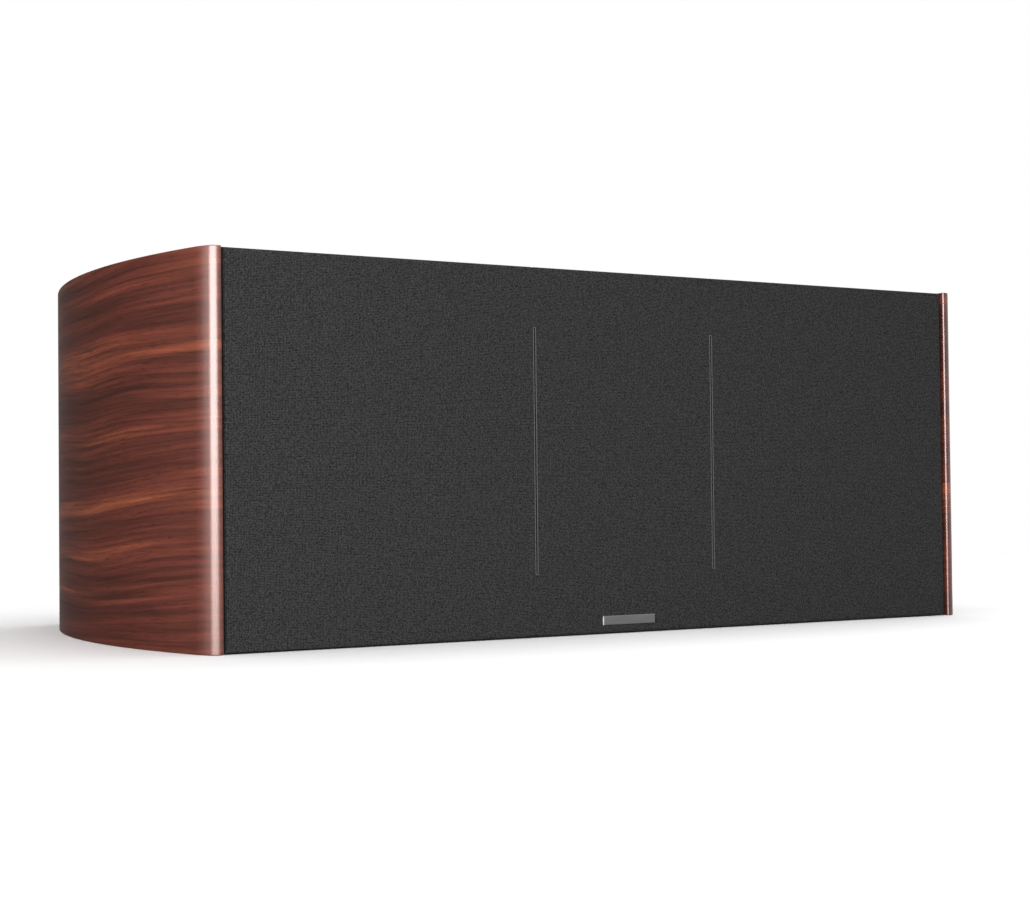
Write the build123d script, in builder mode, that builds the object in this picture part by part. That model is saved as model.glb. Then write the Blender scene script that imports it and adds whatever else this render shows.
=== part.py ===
"""Three-way center channel speaker, in millimetres.

X runs to the right as seen from the front, Y from front to back, Z up. The origin is at the
bottom, in the middle of the overall width and depth. A depth is a distance behind the front
plane, where the side panels end.
"""

import os
from math import atan, cos, degrees, pi, sqrt

from build123d import *

# Cabinet: two bowed side panels with the other panels let in between them
cabinet_height = 200.0
cabinet_depth = 300.0
widest_half = 262.5
widest_depth = 112.0
side_radius = 428.0
side_thickness = 15.0
side_lip = 7.2
panel_thickness = 15.0
baffle_thickness = 18.0
rear_thickness = 18.0
nose_radius = 6.0
lip_radius = 2.2
tail_radius = 3.0
glue_line = 0.1
brace_thickness = 9.0
brace_gap = 0.6
brace_rail = 24.0
brace_window_chamfer = 12.0

# Grille: cloth stretched over a frame that lies between the side panels
grille_setback = 1.2
cloth_thickness = 0.8
cloth_edge_radius = 2.0
cloth_wrap = 5.0
frame_depth = 5.8
frame_bar = 12.0
mullion_width = 8.0
grille_seat_gap = 0.2
grille_side_gap = 1.3
grille_end_gap = 0.4
slit_x = 59.5
slit_low = 34.0
slit_length = 132.7
slit_width = 1.1
slit_rim = 0.9
slit_stand = 0.25
slit_ease = 0.3
edge_notch_width = 1.6
edge_notch_depth = 1.1
badge_length = 35.0
badge_height = 5.0
badge_low = 5.0
badge_chamfer = 0.4
magnet_height = 22.0
magnet_width = 5.0
magnet_depth = 3.0
magnet_spread = 110.0
fit_gap = 0.1
round_sides = 36
hidden_sides = 24

# Bass units
woofer_rise = 3.0
woofer_radius = 72.5
woofer_opening = 60.0
woofer_cutout = 65.6
cutout_gap = 0.5
flange_thickness = 4.0
leg_count = 6
leg_width = 9.0
leg_reach = 3.2
leg_waist = 8.0
basket_depth = 52.0
base_radius = 44.0
base_opening = 21.0
base_thickness = 4.0
roll_width = 9.5
roll_height = 3.4
roll_foot = 0.2
cone_skin = 0.8
cone_lip = 1.2
cone_depth = 26.0
cap_radius = 17.0
cap_flat = 9.0
cap_rise = 4.5
spider_skin = 0.6
spider_radius = 37.0
ledge_radius = 34.0
ledge_height = 4.0
coil_radius = 12.8
former_skin = 0.8
coil_depth = 8.0
inner_gap = 0.4
outer_gap = 0.5
pole_plate_thickness = 7.0
slug_thickness = 12.0
slug_step = 0.9
pot_radius = 28.0
pot_base = 7.0

# Centre plate with the dome midrange above and the pleated tweeter below
plate_margin = 4.0
plate_corner = 4.0
plate_side_gap = 2.0
dome_below_top = 53.0
dome_radius = 25.2
dome_waist = 14.0
dome_flat = 5.0
dome_rise = 6.4
dome_high = 1.7
dome_skin = 0.6
dome_rim = 5.8
guide_radius = 31.5
guide_depth = 7.0
collar_wall = 1.5
dome_pot_wall = 6.5
dome_pot_base = 5.0
dome_plate_thickness = 4.0
dome_slug_thickness = 8.0
chamber_wall = 3.0
chamber_room = 6.0
chamber_depth = 52.0
tweeter_margin = 5.0
pleat_count = 12
pleat_pitch = 2.5
pleat_height = 50.0
pleat_depth = 5.0
foil_thickness = 0.5
foil_margin = 0.6
pole_bar_count = 4
pole_bar_width = 1.6
pole_bar_depth = 1.5
pole_frame_wall = 6.0
pole_frame_depth = 15.0
bar_magnet_width = 3.5
tweeter_cup_depth = 12.0
tweeter_cup_wall = 2.0

# Rear: terminal cup with clamping posts, and a slot port
rear_flange = 3.0
rear_flange_width = 8.0
rear_flange_corner = 7.0
cup_width = 84.0
cup_height = 60.0
cup_depth = 27.0
cup_wall = 3.0
cup_rise = 25.0
cup_corner = 5.0
post_spacing = 32.0
stud_radius = 3.0
stud_bore = 2.0
stud_bore_depth = 17.0
stud_tail = 7.0
stud_collar_radius = 7.5
stud_collar = 3.0
stud_end_gap = 2.0
knob_radius = 7.5
knob_flutes = 10
knob_length = 20.0
knob_gap = 0.3
thread_gap = 0.06
knob_chamfer = 1.0
port_width = 104.0
port_height = 20.0
port_length = 98.0
port_wall = 3.0
port_low = 33.0
port_corner = 7.0
port_flare = 4.0

# Crossover and filling
board_side_gap = 1.6
board_length = 92.0
board_thickness = 1.6
board_port_gap = 20.0
pillar_height = 8.0
pillar_size = 6.0
pillar_inset = 7.0
core_size = 34.0
core_height = 26.0
winding_width = 20.0
winding_gap = 1.0
capacitor_width = 15.0
capacitor_length = 32.0
capacitor_height = 22.0
resistor_length = 24.0
resistor_size = 7.0
wadding_width = 100.0
wadding_thickness = 28.0
wadding_margin = 12.0

# Driver screws
screw_radius = 2.6
screw_length = 15.0
screws_per_woofer = 4
screw_inset = 6.0

# Sizes that follow from the ones above
front = -(cabinet_depth + rear_flange) / 2
baffle_depth = grille_setback + cloth_thickness + frame_depth + grille_seat_gap
plate_front = baffle_depth - flange_thickness
woofer_seat = baffle_depth + flange_thickness
inner_depth = baffle_depth + baffle_thickness
rear_depth = cabinet_depth - rear_thickness
inner_low = panel_thickness
inner_high = cabinet_height - panel_thickness
inner_height = inner_high - inner_low
middle = cabinet_height / 2
woofer_z = middle + woofer_rise
dome_z = cabinet_height - dome_below_top
pleat_width = pleat_count * pleat_pitch
pole_frame_width = pleat_width + 2 * (foil_margin + bar_magnet_width + pole_frame_wall)
pole_frame_height = pleat_height + 2 * (foil_margin + pole_frame_wall)
tweeter_z = inner_low + plate_margin + tweeter_margin + pole_frame_height / 2
plate_width = 2 * (slit_x - mullion_width / 2 - plate_side_gap)
plate_height = inner_height - 2 * plate_margin
port_body = (port_width + 2 * port_wall, port_height + 2 * port_wall)
port_front = cabinet_depth - port_length
brace_x = port_body[0] / 2 + brace_gap + brace_thickness / 2
sides = {"left": -1, "right": 1}


def half_width(depth, inset=0.0):
    """Half the cabinet's width at a depth, at a skin that lies inset behind the outer one."""
    reach = side_radius - inset
    return widest_half - side_radius + sqrt(reach**2 - (depth - widest_depth) ** 2)


def upright(depth):
    """Upright plane at a depth, with X to the right and Z up. Towards the back is negative."""
    return Plane.XZ.offset(-(front + depth))


def driver_plane(x, z):
    """Plane through a driver's axis: local X is the radius, local Y the depth."""
    return Plane((x, front, z))


def bowed_plan(near, far):
    """Plan between two depths, with ends that follow the side panels' inner faces."""
    inset = side_thickness + glue_line
    between = (near + far) / 2
    with BuildSketch() as plan:
        with BuildLine():
            ends = []
            for sign in sides.values():
                arc = ThreePointArc(
                    (sign * half_width(near, inset), front + near),
                    (sign * half_width(between, inset), front + between),
                    (sign * half_width(far, inset), front + far),
                )
                ends.append(arc)
            Line(ends[0] @ 0, ends[1] @ 0)
            Line(ends[0] @ 1, ends[1] @ 1)
        make_face()
    return plan.sketch


def frustum(place, near, near_radius, far, far_radius):
    """Faceted cone between two depths, round a place on the front. It is drawn upright, then laid down."""
    narrows = near_radius > far_radius
    shrink = abs(near_radius - far_radius) * cos(pi / round_sides)
    with BuildPart() as body:
        with BuildSketch():
            RegularPolygon(max(near_radius, far_radius), round_sides)
        extrude(amount=far - near, taper=degrees(atan(shrink / (far - near))))
    wide_end = (place[0], front + (near if narrows else far), place[1])
    return body.part.moved(Location(wide_end, (-90 if narrows else 90, 0, 0)))


def eased_rectangle(width, height, ease):
    """Rectangle with its corners cut off."""
    with BuildSketch() as plan:
        Rectangle(width, height)
        chamfer(plan.vertices(), ease)
    return plan.sketch


opening_half = half_width(0) - side_lip
grille_width = 2 * (opening_half - grille_side_gap)
grille_height = cabinet_height - 2 * grille_end_gap
baffle_half = half_width(baffle_depth, side_thickness + glue_line)
woofer_x = (plate_width / 2 + baffle_half) / 2

# Side panels, full height, bowed in plan, rebated in front for the grille
with BuildPart() as side_panel_right:
    with BuildSketch():
        with BuildLine():
            skins = []
            for inset in (0.0, side_thickness):
                skin = ThreePointArc(
                    (half_width(0, inset), front),
                    (widest_half - inset, front + widest_depth),
                    (half_width(cabinet_depth, inset), front + cabinet_depth),
                )
                skins.append(skin)
            Line(skins[0] @ 0, skins[1] @ 0)
            Line(skins[0] @ 1, skins[1] @ 1)
        make_face()
        with Locations((0, front + baffle_depth / 2)):
            Rectangle(2 * opening_half, baffle_depth, mode=Mode.SUBTRACT)
    extrude(amount=cabinet_height)
    uprights = side_panel_right.edges().filter_by(Axis.Z)
    fillet(uprights.group_by(Axis.Y)[0].sort_by(Axis.X)[-1], nose_radius)
    uprights = side_panel_right.edges().filter_by(Axis.Z)
    fillet(uprights.group_by(Axis.Y)[0].sort_by(Axis.X)[0], lip_radius)
    uprights = side_panel_right.edges().filter_by(Axis.Z)
    fillet(uprights.group_by(Axis.Y)[-1].sort_by(Axis.X)[-1], tail_radius)

with BuildPart() as side_panel_left:
    mirror(side_panel_right.part, about=Plane.YZ)

# Top and bottom panels, from the grille's seat to the back
with BuildPart() as bottom_panel:
    with BuildSketch():
        add(bowed_plan(baffle_depth, cabinet_depth))
    extrude(amount=panel_thickness)

with BuildPart() as top_panel:
    with BuildSketch(Plane.XY.offset(inner_high)):
        add(bowed_plan(baffle_depth, cabinet_depth))
    extrude(amount=panel_thickness)

# Front baffle with the driver cut-outs, rebates for the bass units' flanges and pockets for the keepers
dome_hole = guide_radius + collar_wall + cutout_gap
magnet_x = baffle_half - magnet_width / 2 - fit_gap
magnet_places = [
    (sign * magnet_x, middle + step * magnet_spread / 2) for sign in (-1, 1) for step in (-1, 1)
]

with BuildPart() as front_baffle:
    with BuildSketch(Plane.XY.offset(inner_low)):
        add(bowed_plan(baffle_depth, inner_depth))
    extrude(amount=inner_height)
    with BuildSketch(upright(baffle_depth)):
        with Locations((-woofer_x, woofer_z), (woofer_x, woofer_z)):
            RegularPolygon(woofer_cutout, hidden_sides, major_radius=False)
        with Locations((0, dome_z)):
            RegularPolygon(dome_hole, hidden_sides, major_radius=False)
        with Locations((0, tweeter_z)):
            Rectangle(pole_frame_width + 2 * cutout_gap, pole_frame_height + 2 * cutout_gap)
    extrude(amount=-baffle_thickness, mode=Mode.SUBTRACT)
    with BuildSketch(upright(baffle_depth)):
        with Locations((-woofer_x, woofer_z), (woofer_x, woofer_z)):
            RegularPolygon(woofer_radius + fit_gap, round_sides, major_radius=False)
    extrude(amount=-flange_thickness, mode=Mode.SUBTRACT)
    with BuildSketch(upright(baffle_depth)):
        with Locations(*magnet_places):
            Rectangle(magnet_width + fit_gap, magnet_height + fit_gap)
    extrude(amount=-magnet_depth, mode=Mode.SUBTRACT)

# Rear panel with openings for the terminal cup and the port
cup_z = middle + cup_rise
port_z = port_low + port_height / 2
cup_body = (cup_width + 2 * cup_wall, cup_height + 2 * cup_wall)

with BuildPart() as rear_panel:
    with BuildSketch(Plane.XY.offset(inner_low)):
        add(bowed_plan(rear_depth, cabinet_depth))
    extrude(amount=inner_height)
    with BuildSketch(upright(rear_depth)):
        with Locations((0, cup_z)):
            Rectangle(cup_body[0] + 2 * fit_gap, cup_body[1] + 2 * fit_gap)
        with Locations((0, port_z)):
            Rectangle(port_body[0] + 2 * fit_gap, port_body[1] + 2 * fit_gap)
    extrude(amount=-rear_thickness, mode=Mode.SUBTRACT)

# Upright braces between baffle and rear panel, each with a window for air and wiring
brace_length = rear_depth - inner_depth
braces = {}
for name, sign in sides.items():
    with BuildPart() as brace:
        brace_plane = Plane.YZ.offset(sign * brace_x - brace_thickness / 2)
        with BuildSketch(brace_plane):
            with Locations((front + (inner_depth + rear_depth) / 2, middle)):
                Rectangle(brace_length, inner_height)
        extrude(amount=brace_thickness)
        window = eased_rectangle(
            brace_length - 2 * brace_rail, inner_height - 2 * brace_rail, brace_window_chamfer
        )
        with BuildSketch(brace_plane):
            with Locations((front + (inner_depth + rear_depth) / 2, middle)):
                add(window)
        extrude(amount=brace_thickness, mode=Mode.SUBTRACT)
    braces[name] = brace

# Wadding pads on the rear panel, outside the braces
wadding = {}
for name, sign in sides.items():
    with BuildPart() as pad:
        pad_x = brace_x + brace_thickness / 2 + wadding_margin + wadding_width / 2
        with BuildSketch(upright(rear_depth)):
            with Locations((sign * pad_x, middle)):
                Rectangle(wadding_width, inner_height - 2 * wadding_margin)
        extrude(amount=wadding_thickness)
    wadding[name] = pad

# Grille frame: four bars and two mullions that carry the slits
frame_front = grille_setback + cloth_thickness
frame_width = grille_width - 2 * cloth_thickness
frame_height = grille_height - 2 * cloth_thickness
window_height = frame_height - 2 * frame_bar
window_edge = frame_width / 2 - frame_bar
mullion_edge = slit_x + mullion_width / 2
side_window = window_edge - mullion_edge
slit_z = slit_low + slit_length / 2
slit_places = [(-slit_x, slit_z), (slit_x, slit_z)]
rim_length = slit_length + 2 * slit_rim
rim_width = slit_width + 2 * slit_rim
notch_places = [
    (sign * slit_x, middle + step * grille_height / 2) for sign in (-1, 1) for step in (-1, 1)
]

rim_outline = eased_rectangle(rim_width, rim_length, rim_width * slit_ease)
slit_outline = eased_rectangle(slit_width, slit_length, slit_width * slit_ease)

with BuildPart() as grille_frame:
    with BuildSketch(upright(frame_front)):
        with Locations((0, middle)):
            Rectangle(frame_width, frame_height)
            Rectangle(2 * (slit_x - mullion_width / 2), window_height, mode=Mode.SUBTRACT)
        window_x = mullion_edge + side_window / 2
        with Locations((-window_x, middle), (window_x, middle)):
            Rectangle(side_window, window_height, mode=Mode.SUBTRACT)
        with Locations(*slit_places):
            add(rim_outline, mode=Mode.SUBTRACT)
        with Locations(*notch_places):
            Rectangle(edge_notch_width, 2 * edge_notch_depth, mode=Mode.SUBTRACT)
    extrude(amount=-frame_depth)
    with BuildSketch(upright(frame_front + frame_depth)):
        with Locations(*magnet_places):
            Rectangle(magnet_width + fit_gap, magnet_height + fit_gap)
    extrude(amount=magnet_depth, mode=Mode.SUBTRACT)

# Cloth: one sheet over the front of the frame and round its edges
with BuildPart() as grille_cloth:
    with BuildSketch(upright(grille_setback)):
        with Locations((0, middle)):
            Rectangle(grille_width, grille_height)
    extrude(amount=-(cloth_thickness + cloth_wrap))
    fillet(grille_cloth.faces().sort_by(Axis.Y)[0].edges(), cloth_edge_radius)
    with BuildSketch(upright(frame_front)):
        with Locations((0, middle)):
            Rectangle(frame_width, frame_height)
    extrude(amount=-cloth_wrap, mode=Mode.SUBTRACT)
    with BuildSketch(upright(grille_setback)):
        with Locations(*slit_places):
            add(rim_outline)
        with Locations(*notch_places):
            Rectangle(edge_notch_width, 2 * edge_notch_depth)
    extrude(amount=-(cloth_thickness + cloth_wrap), mode=Mode.SUBTRACT)

# Rims that line the two slits, a little proud of the cloth
with BuildPart() as slit_rims:
    with BuildSketch(upright(grille_setback - slit_stand)):
        with Locations(*slit_places):
            add(rim_outline)
            add(slit_outline, mode=Mode.SUBTRACT)
    extrude(amount=-(slit_stand + cloth_thickness + frame_depth))

# Blank plate near the bottom edge of the cloth
with BuildPart() as badge_plate:
    with BuildSketch(upright(grille_setback)):
        with Locations((0, badge_low + badge_height / 2)):
            Rectangle(badge_length, badge_height)
    extrude(amount=grille_setback)
    chamfer(badge_plate.faces().sort_by(Axis.Y)[0].edges(), badge_chamfer)

# Block magnets in the back of the frame, and steel keepers in the baffle
with BuildPart() as grille_magnets:
    with BuildSketch(upright(frame_front + frame_depth)):
        with Locations(*magnet_places):
            Rectangle(magnet_width, magnet_height)
    extrude(amount=magnet_depth - fit_gap)

with BuildPart() as grille_keepers:
    with BuildSketch(upright(baffle_depth)):
        with Locations(*magnet_places):
            Rectangle(magnet_width, magnet_height)
    extrude(amount=-(magnet_depth - fit_gap))

# Bass unit baskets: flange, six legs and the base plate that holds the motor
woofer_places = {name: (sign * woofer_x, woofer_z) for name, sign in sides.items()}
base_depth = woofer_seat + basket_depth
base_front = base_depth - base_thickness
leg_outer = woofer_cutout - cutout_gap
leg_inner = leg_outer - leg_reach

with BuildPart() as woofer_baskets:
    for x, z in woofer_places.values():
        with BuildSketch(upright(baffle_depth)):
            with Locations((x, z)):
                RegularPolygon(woofer_radius, round_sides, major_radius=False)
                RegularPolygon(woofer_opening, round_sides, major_radius=False, mode=Mode.SUBTRACT)
        extrude(amount=-flange_thickness)
        with BuildSketch(upright(base_front)):
            with Locations((x, z)):
                RegularPolygon(base_radius, leg_count)
                RegularPolygon(base_opening, hidden_sides, mode=Mode.SUBTRACT)
        extrude(amount=-base_thickness)
        with BuildSketch(upright(base_front)):
            with Locations((x, z)):
                RegularPolygon(base_radius, leg_count)
                RegularPolygon(ledge_radius, leg_count, major_radius=False, mode=Mode.SUBTRACT)
        extrude(amount=ledge_height)
        for turn in range(leg_count):
            leg_plane = driver_plane(x, z).rotated((0, turn * 360 / leg_count, 0))
            with BuildSketch(leg_plane):
                with BuildLine():
                    Polyline(
                        (leg_inner, woofer_seat),
                        (leg_outer, woofer_seat),
                        (leg_outer, woofer_seat + leg_waist + leg_reach),
                        (base_radius, base_depth),
                        (base_radius - leg_reach, base_depth),
                        (base_radius - leg_reach, base_front),
                        (leg_inner, woofer_seat + leg_waist),
                        close=True,
                    )
                make_face()
            extrude(amount=leg_width / 2, both=True)

# Rubber surrounds: a half roll from the flange's wall to the cone's edge
roll_outer = woofer_opening - glue_line
roll_inner = roll_outer - roll_width
roll_crest = woofer_seat - roll_height
roll_foot_depth = woofer_seat - roll_foot
roll_shoulder = roll_width / 4

with BuildPart() as woofer_surrounds:
    for place in woofer_places.values():
        add(frustum(place, roll_crest, roll_outer - roll_shoulder, roll_foot_depth, roll_outer))
        add(
            frustum(place, roll_crest, roll_inner + roll_shoulder, roll_foot_depth, roll_inner),
            mode=Mode.SUBTRACT,
        )

# Cones: fibre cone, shallow cap and voice coil former in one moving piece
cone_radius = roll_inner - glue_line
cone_front = roll_foot_depth - cone_skin
cap_depth = cone_front + cone_depth
dish_radius = cone_radius - cone_lip
dish_floor = cap_radius - cone_lip
former_outer = coil_radius + former_skin
former_start = cap_depth + cone_skin
former_end = base_depth + coil_depth
woofer_cones = {}
for name, place in woofer_places.items():
    with BuildPart() as cone:
        with BuildSketch(upright(cone_front)):
            with Locations(place):
                RegularPolygon(cone_radius, round_sides)
        extrude(amount=-cone_skin)
        add(frustum(place, cone_front + cone_skin, cone_radius, former_start, cap_radius))
        add(frustum(place, cone_front, dish_radius, cap_depth, dish_floor), mode=Mode.SUBTRACT)
        add(frustum(place, cap_depth - cap_rise, cap_flat, cap_depth, dish_floor))
        with BuildSketch(upright(former_start)):
            with Locations(place):
                RegularPolygon(former_outer, hidden_sides)
                RegularPolygon(coil_radius, hidden_sides, major_radius=False, mode=Mode.SUBTRACT)
        extrude(amount=-(former_end - former_start))
    woofer_cones[name] = cone

# Spiders: cloth discs that centre the formers, glued to the ledges of the baskets
spider_inner = former_outer + glue_line

with BuildPart() as woofer_spiders:
    with BuildSketch(upright(base_front - ledge_height)):
        with Locations(*woofer_places.values()):
            RegularPolygon(spider_radius, hidden_sides)
            RegularPolygon(spider_inner, hidden_sides, major_radius=False, mode=Mode.SUBTRACT)
    extrude(amount=spider_skin)

# Motors of the two bass units and of the dome: pot, slug magnet and pole plate
guide_end = plate_front + guide_depth
dome_pot_front = guide_end + dome_skin
dome_coil_outer = dome_radius
dome_coil_inner = dome_radius - former_skin
motors = []
for x, z in woofer_places.values():
    motors.append(
        {
            "place": (x, z),
            "front": base_depth,
            "pot": pot_radius,
            "bore": former_outer + outer_gap,
            "plate": coil_radius - inner_gap,
            "plate_thickness": pole_plate_thickness,
            "slug_thickness": slug_thickness,
            "base": pot_base,
        }
    )
motors.append(
    {
        "place": (0, dome_z),
        "front": dome_pot_front,
        "pot": dome_coil_outer + outer_gap + dome_pot_wall,
        "bore": dome_coil_outer + outer_gap,
        "plate": dome_coil_inner - inner_gap,
        "plate_thickness": dome_plate_thickness,
        "slug_thickness": dome_slug_thickness,
        "base": dome_pot_base,
    }
)

with BuildPart() as motor_pots:
    for motor in motors:
        hollow = motor["plate_thickness"] + motor["slug_thickness"]
        with BuildSketch(upright(motor["front"])):
            with Locations(motor["place"]):
                RegularPolygon(motor["pot"], hidden_sides)
        extrude(amount=-(hollow + motor["base"]))
        with BuildSketch(upright(motor["front"])):
            with Locations(motor["place"]):
                RegularPolygon(motor["bore"], hidden_sides, major_radius=False)
        extrude(amount=-hollow, mode=Mode.SUBTRACT)

with BuildPart() as motor_magnets:
    for motor in motors:
        with BuildSketch(upright(motor["front"] + motor["plate_thickness"])):
            with Locations(motor["place"]):
                RegularPolygon(motor["plate"] - slug_step, hidden_sides)
        extrude(amount=-motor["slug_thickness"])

with BuildPart() as motor_pole_plates:
    for motor in motors:
        with BuildSketch(upright(motor["front"])):
            with Locations(motor["place"]):
                RegularPolygon(motor["plate"], hidden_sides)
        extrude(amount=-motor["plate_thickness"])

# Centre plate: moulded front for the dome and the tweeter, with a flared guide round the dome
window_width = pleat_width + 2 * foil_margin
window_tall = pleat_height + 2 * foil_margin

with BuildPart() as centre_plate:
    with BuildSketch(upright(plate_front)):
        with Locations((0, middle)):
            RectangleRounded(plate_width, plate_height, plate_corner)
        with Locations((0, tweeter_z)):
            Rectangle(window_width, window_tall, mode=Mode.SUBTRACT)
    extrude(amount=-flange_thickness)
    with BuildSketch(upright(baffle_depth)):
        with Locations((0, dome_z)):
            RegularPolygon(guide_radius + collar_wall, hidden_sides)
    extrude(amount=-(guide_end - baffle_depth))
    guide_throat = dome_radius + glue_line
    add(
        frustum((0, dome_z), plate_front, guide_radius, guide_end, guide_throat),
        mode=Mode.SUBTRACT,
    )

# Dome: soft cap in two slopes, hollow behind, with its rim
dome_place = (0, dome_z)
dome_crest = guide_end - dome_rise
dome_waist_depth = dome_crest + dome_high

with BuildPart() as midrange_dome:
    with BuildSketch(upright(guide_end)):
        with Locations(dome_place):
            RegularPolygon(dome_radius + dome_rim, round_sides)
    extrude(amount=-dome_skin)
    add(frustum(dome_place, dome_waist_depth, dome_waist, guide_end, dome_radius))
    add(frustum(dome_place, dome_crest, dome_flat, dome_waist_depth, dome_waist))
    add(
        frustum(dome_place, dome_waist_depth + dome_skin, dome_waist, guide_end + dome_skin, dome_radius),
        mode=Mode.SUBTRACT,
    )

# Closed chamber behind the dome, on the back of the baffle
chamber_size = 2 * (dome_hole + chamber_room)
chamber_high = min(dome_z + chamber_size / 2, inner_high)
chamber_low = dome_z - dome_hole - chamber_wall
chamber_z = (chamber_high + chamber_low) / 2
chamber_height = chamber_high - chamber_low

with BuildPart() as midrange_chamber:
    with BuildSketch(upright(inner_depth)):
        with Locations((0, chamber_z)):
            Rectangle(chamber_size, chamber_height)
    extrude(amount=-chamber_depth)
    with BuildSketch(upright(inner_depth)):
        with Locations((0, chamber_z)):
            Rectangle(chamber_size - 2 * chamber_wall, chamber_height - 2 * chamber_wall)
    extrude(amount=-(chamber_depth - chamber_wall), mode=Mode.SUBTRACT)

# Tweeter: pole frame with front bars, bar magnets, pleated foil and rear cup
pole_front = baffle_depth
foil_front = pole_front + pole_bar_depth + foil_margin

with BuildPart() as tweeter_frame:
    with BuildSketch(upright(pole_front)):
        with Locations((0, tweeter_z)):
            Rectangle(pole_frame_width, pole_frame_height)
            Rectangle(window_width + 2 * bar_magnet_width, window_tall, mode=Mode.SUBTRACT)
    extrude(amount=-pole_frame_depth)
    with BuildSketch(upright(pole_front)):
        with Locations((0, tweeter_z)):
            with GridLocations(window_width / (pole_bar_count + 1), 0, pole_bar_count, 1):
                Rectangle(pole_bar_width, window_tall)
    extrude(amount=-pole_bar_depth)

with BuildPart() as tweeter_magnets:
    with BuildSketch(upright(pole_front)):
        magnet_step = window_width + bar_magnet_width
        with Locations((0, tweeter_z)):
            with GridLocations(magnet_step, 0, 2, 1):
                Rectangle(bar_magnet_width, window_tall)
    extrude(amount=-pole_frame_depth)

with BuildPart() as tweeter_pleats:
    with BuildSketch(Plane.XY.offset(tweeter_z - pleat_height / 2)):
        with BuildLine():
            near = []
            far = []
            for fold in range(2 * pleat_count + 1):
                fold_x = -pleat_width / 2 + fold * pleat_pitch / 2
                fold_y = front + foil_front + (fold % 2) * pleat_depth
                near.append((fold_x, fold_y))
                far.append((fold_x, fold_y + foil_thickness * 2))
            Polyline(*near, *reversed(far), close=True)
        make_face()
    extrude(amount=pleat_height)

with BuildPart() as tweeter_cup:
    cup_front = pole_front + pole_frame_depth
    with BuildSketch(upright(cup_front)):
        with Locations((0, tweeter_z)):
            Rectangle(pole_frame_width, pole_frame_height)
    extrude(amount=-tweeter_cup_depth)
    with BuildSketch(upright(cup_front)):
        with Locations((0, tweeter_z)):
            Rectangle(
                pole_frame_width - 2 * tweeter_cup_wall, pole_frame_height - 2 * tweeter_cup_wall
            )
    extrude(amount=-(tweeter_cup_depth - tweeter_cup_wall), mode=Mode.SUBTRACT)

# Screws that hold the flanges and the centre plate to the baffle
screw_ring = (woofer_radius + woofer_cutout) / 2
screw_step_x = plate_width - 2 * screw_inset
screw_step_z = plate_height - 2 * screw_inset

with BuildPart() as driver_screws:
    with BuildSketch(upright(baffle_depth)):
        with Locations(*woofer_places.values()):
            with PolarLocations(screw_ring, screws_per_woofer, start_angle=45):
                RegularPolygon(screw_radius, 6)
    extrude(amount=-screw_length)
    with BuildSketch(upright(plate_front)):
        with Locations((0, middle)):
            with GridLocations(screw_step_x, screw_step_z, 2, 2):
                RegularPolygon(screw_radius, 6)
    extrude(amount=-screw_length)

for carrier in (woofer_baskets, centre_plate, front_baffle):
    with carrier:
        add(driver_screws.part, mode=Mode.SUBTRACT)

# Terminal cup: moulded dish with a flange on the rear panel
cup_floor = cabinet_depth - cup_depth
rim_grow = 2 * rear_flange_width

with BuildPart() as terminal_cup:
    with BuildSketch(upright(cabinet_depth)):
        with Locations((0, cup_z)):
            RectangleRounded(cup_body[0] + rim_grow, cup_body[1] + rim_grow, rear_flange_corner)
    extrude(amount=-rear_flange)
    with BuildSketch(upright(cup_floor - cup_wall)):
        with Locations((0, cup_z)):
            Rectangle(*cup_body)
    extrude(amount=-(cup_depth + cup_wall))
    with BuildSketch(upright(cup_floor)):
        with Locations((0, cup_z)):
            add(eased_rectangle(cup_width, cup_height, cup_corner))
    extrude(amount=-(cup_depth + rear_flange), mode=Mode.SUBTRACT)
    with BuildSketch(upright(cup_floor)):
        with Locations((0, cup_z)):
            with GridLocations(post_spacing, 0, 2, 1):
                RegularPolygon(stud_radius + fit_gap, 6)
    extrude(amount=cup_wall, mode=Mode.SUBTRACT)

# Studs: hollow threaded posts on hexagonal tails through the floor of the cup
knob_front = cup_floor + stud_collar + knob_gap
knob_end = knob_front + knob_length
stud_end = knob_end - stud_end_gap
post_places = {"negative": (-post_spacing / 2, cup_z), "positive": (post_spacing / 2, cup_z)}

with BuildPart() as terminal_studs:
    for place in post_places.values():
        with BuildSketch(upright(cup_floor - cup_wall - stud_tail)):
            with Locations(place):
                RegularPolygon(stud_radius, 6)
        extrude(amount=-(cup_wall + stud_tail))
        with BuildSketch(upright(cup_floor)):
            with Locations(place):
                RegularPolygon(stud_collar_radius, 6)
        extrude(amount=-stud_collar)
        with BuildSketch(upright(cup_floor + stud_collar)):
            with Locations(place):
                Circle(stud_radius)
        extrude(amount=-(stud_end - cup_floor - stud_collar))
        with BuildSketch(upright(stud_end)):
            with Locations(place):
                Circle(stud_bore)
        extrude(amount=stud_bore_depth, mode=Mode.SUBTRACT)

# Clamping knobs, fluted, that screw down the studs
terminal_knobs = {}
for name, place in post_places.items():
    with BuildPart() as knob:
        with BuildSketch(upright(knob_front)):
            with Locations(place):
                RegularPolygon(knob_radius, knob_flutes)
        extrude(amount=-knob_length)
        chamfer(knob.faces().sort_by(Axis.Y)[-1].edges(), knob_chamfer)
        with BuildSketch(upright(knob_front)):
            with Locations(place):
                Circle(stud_radius + thread_gap)
        extrude(amount=-knob_length, mode=Mode.SUBTRACT)
    terminal_knobs[name] = knob

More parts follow.
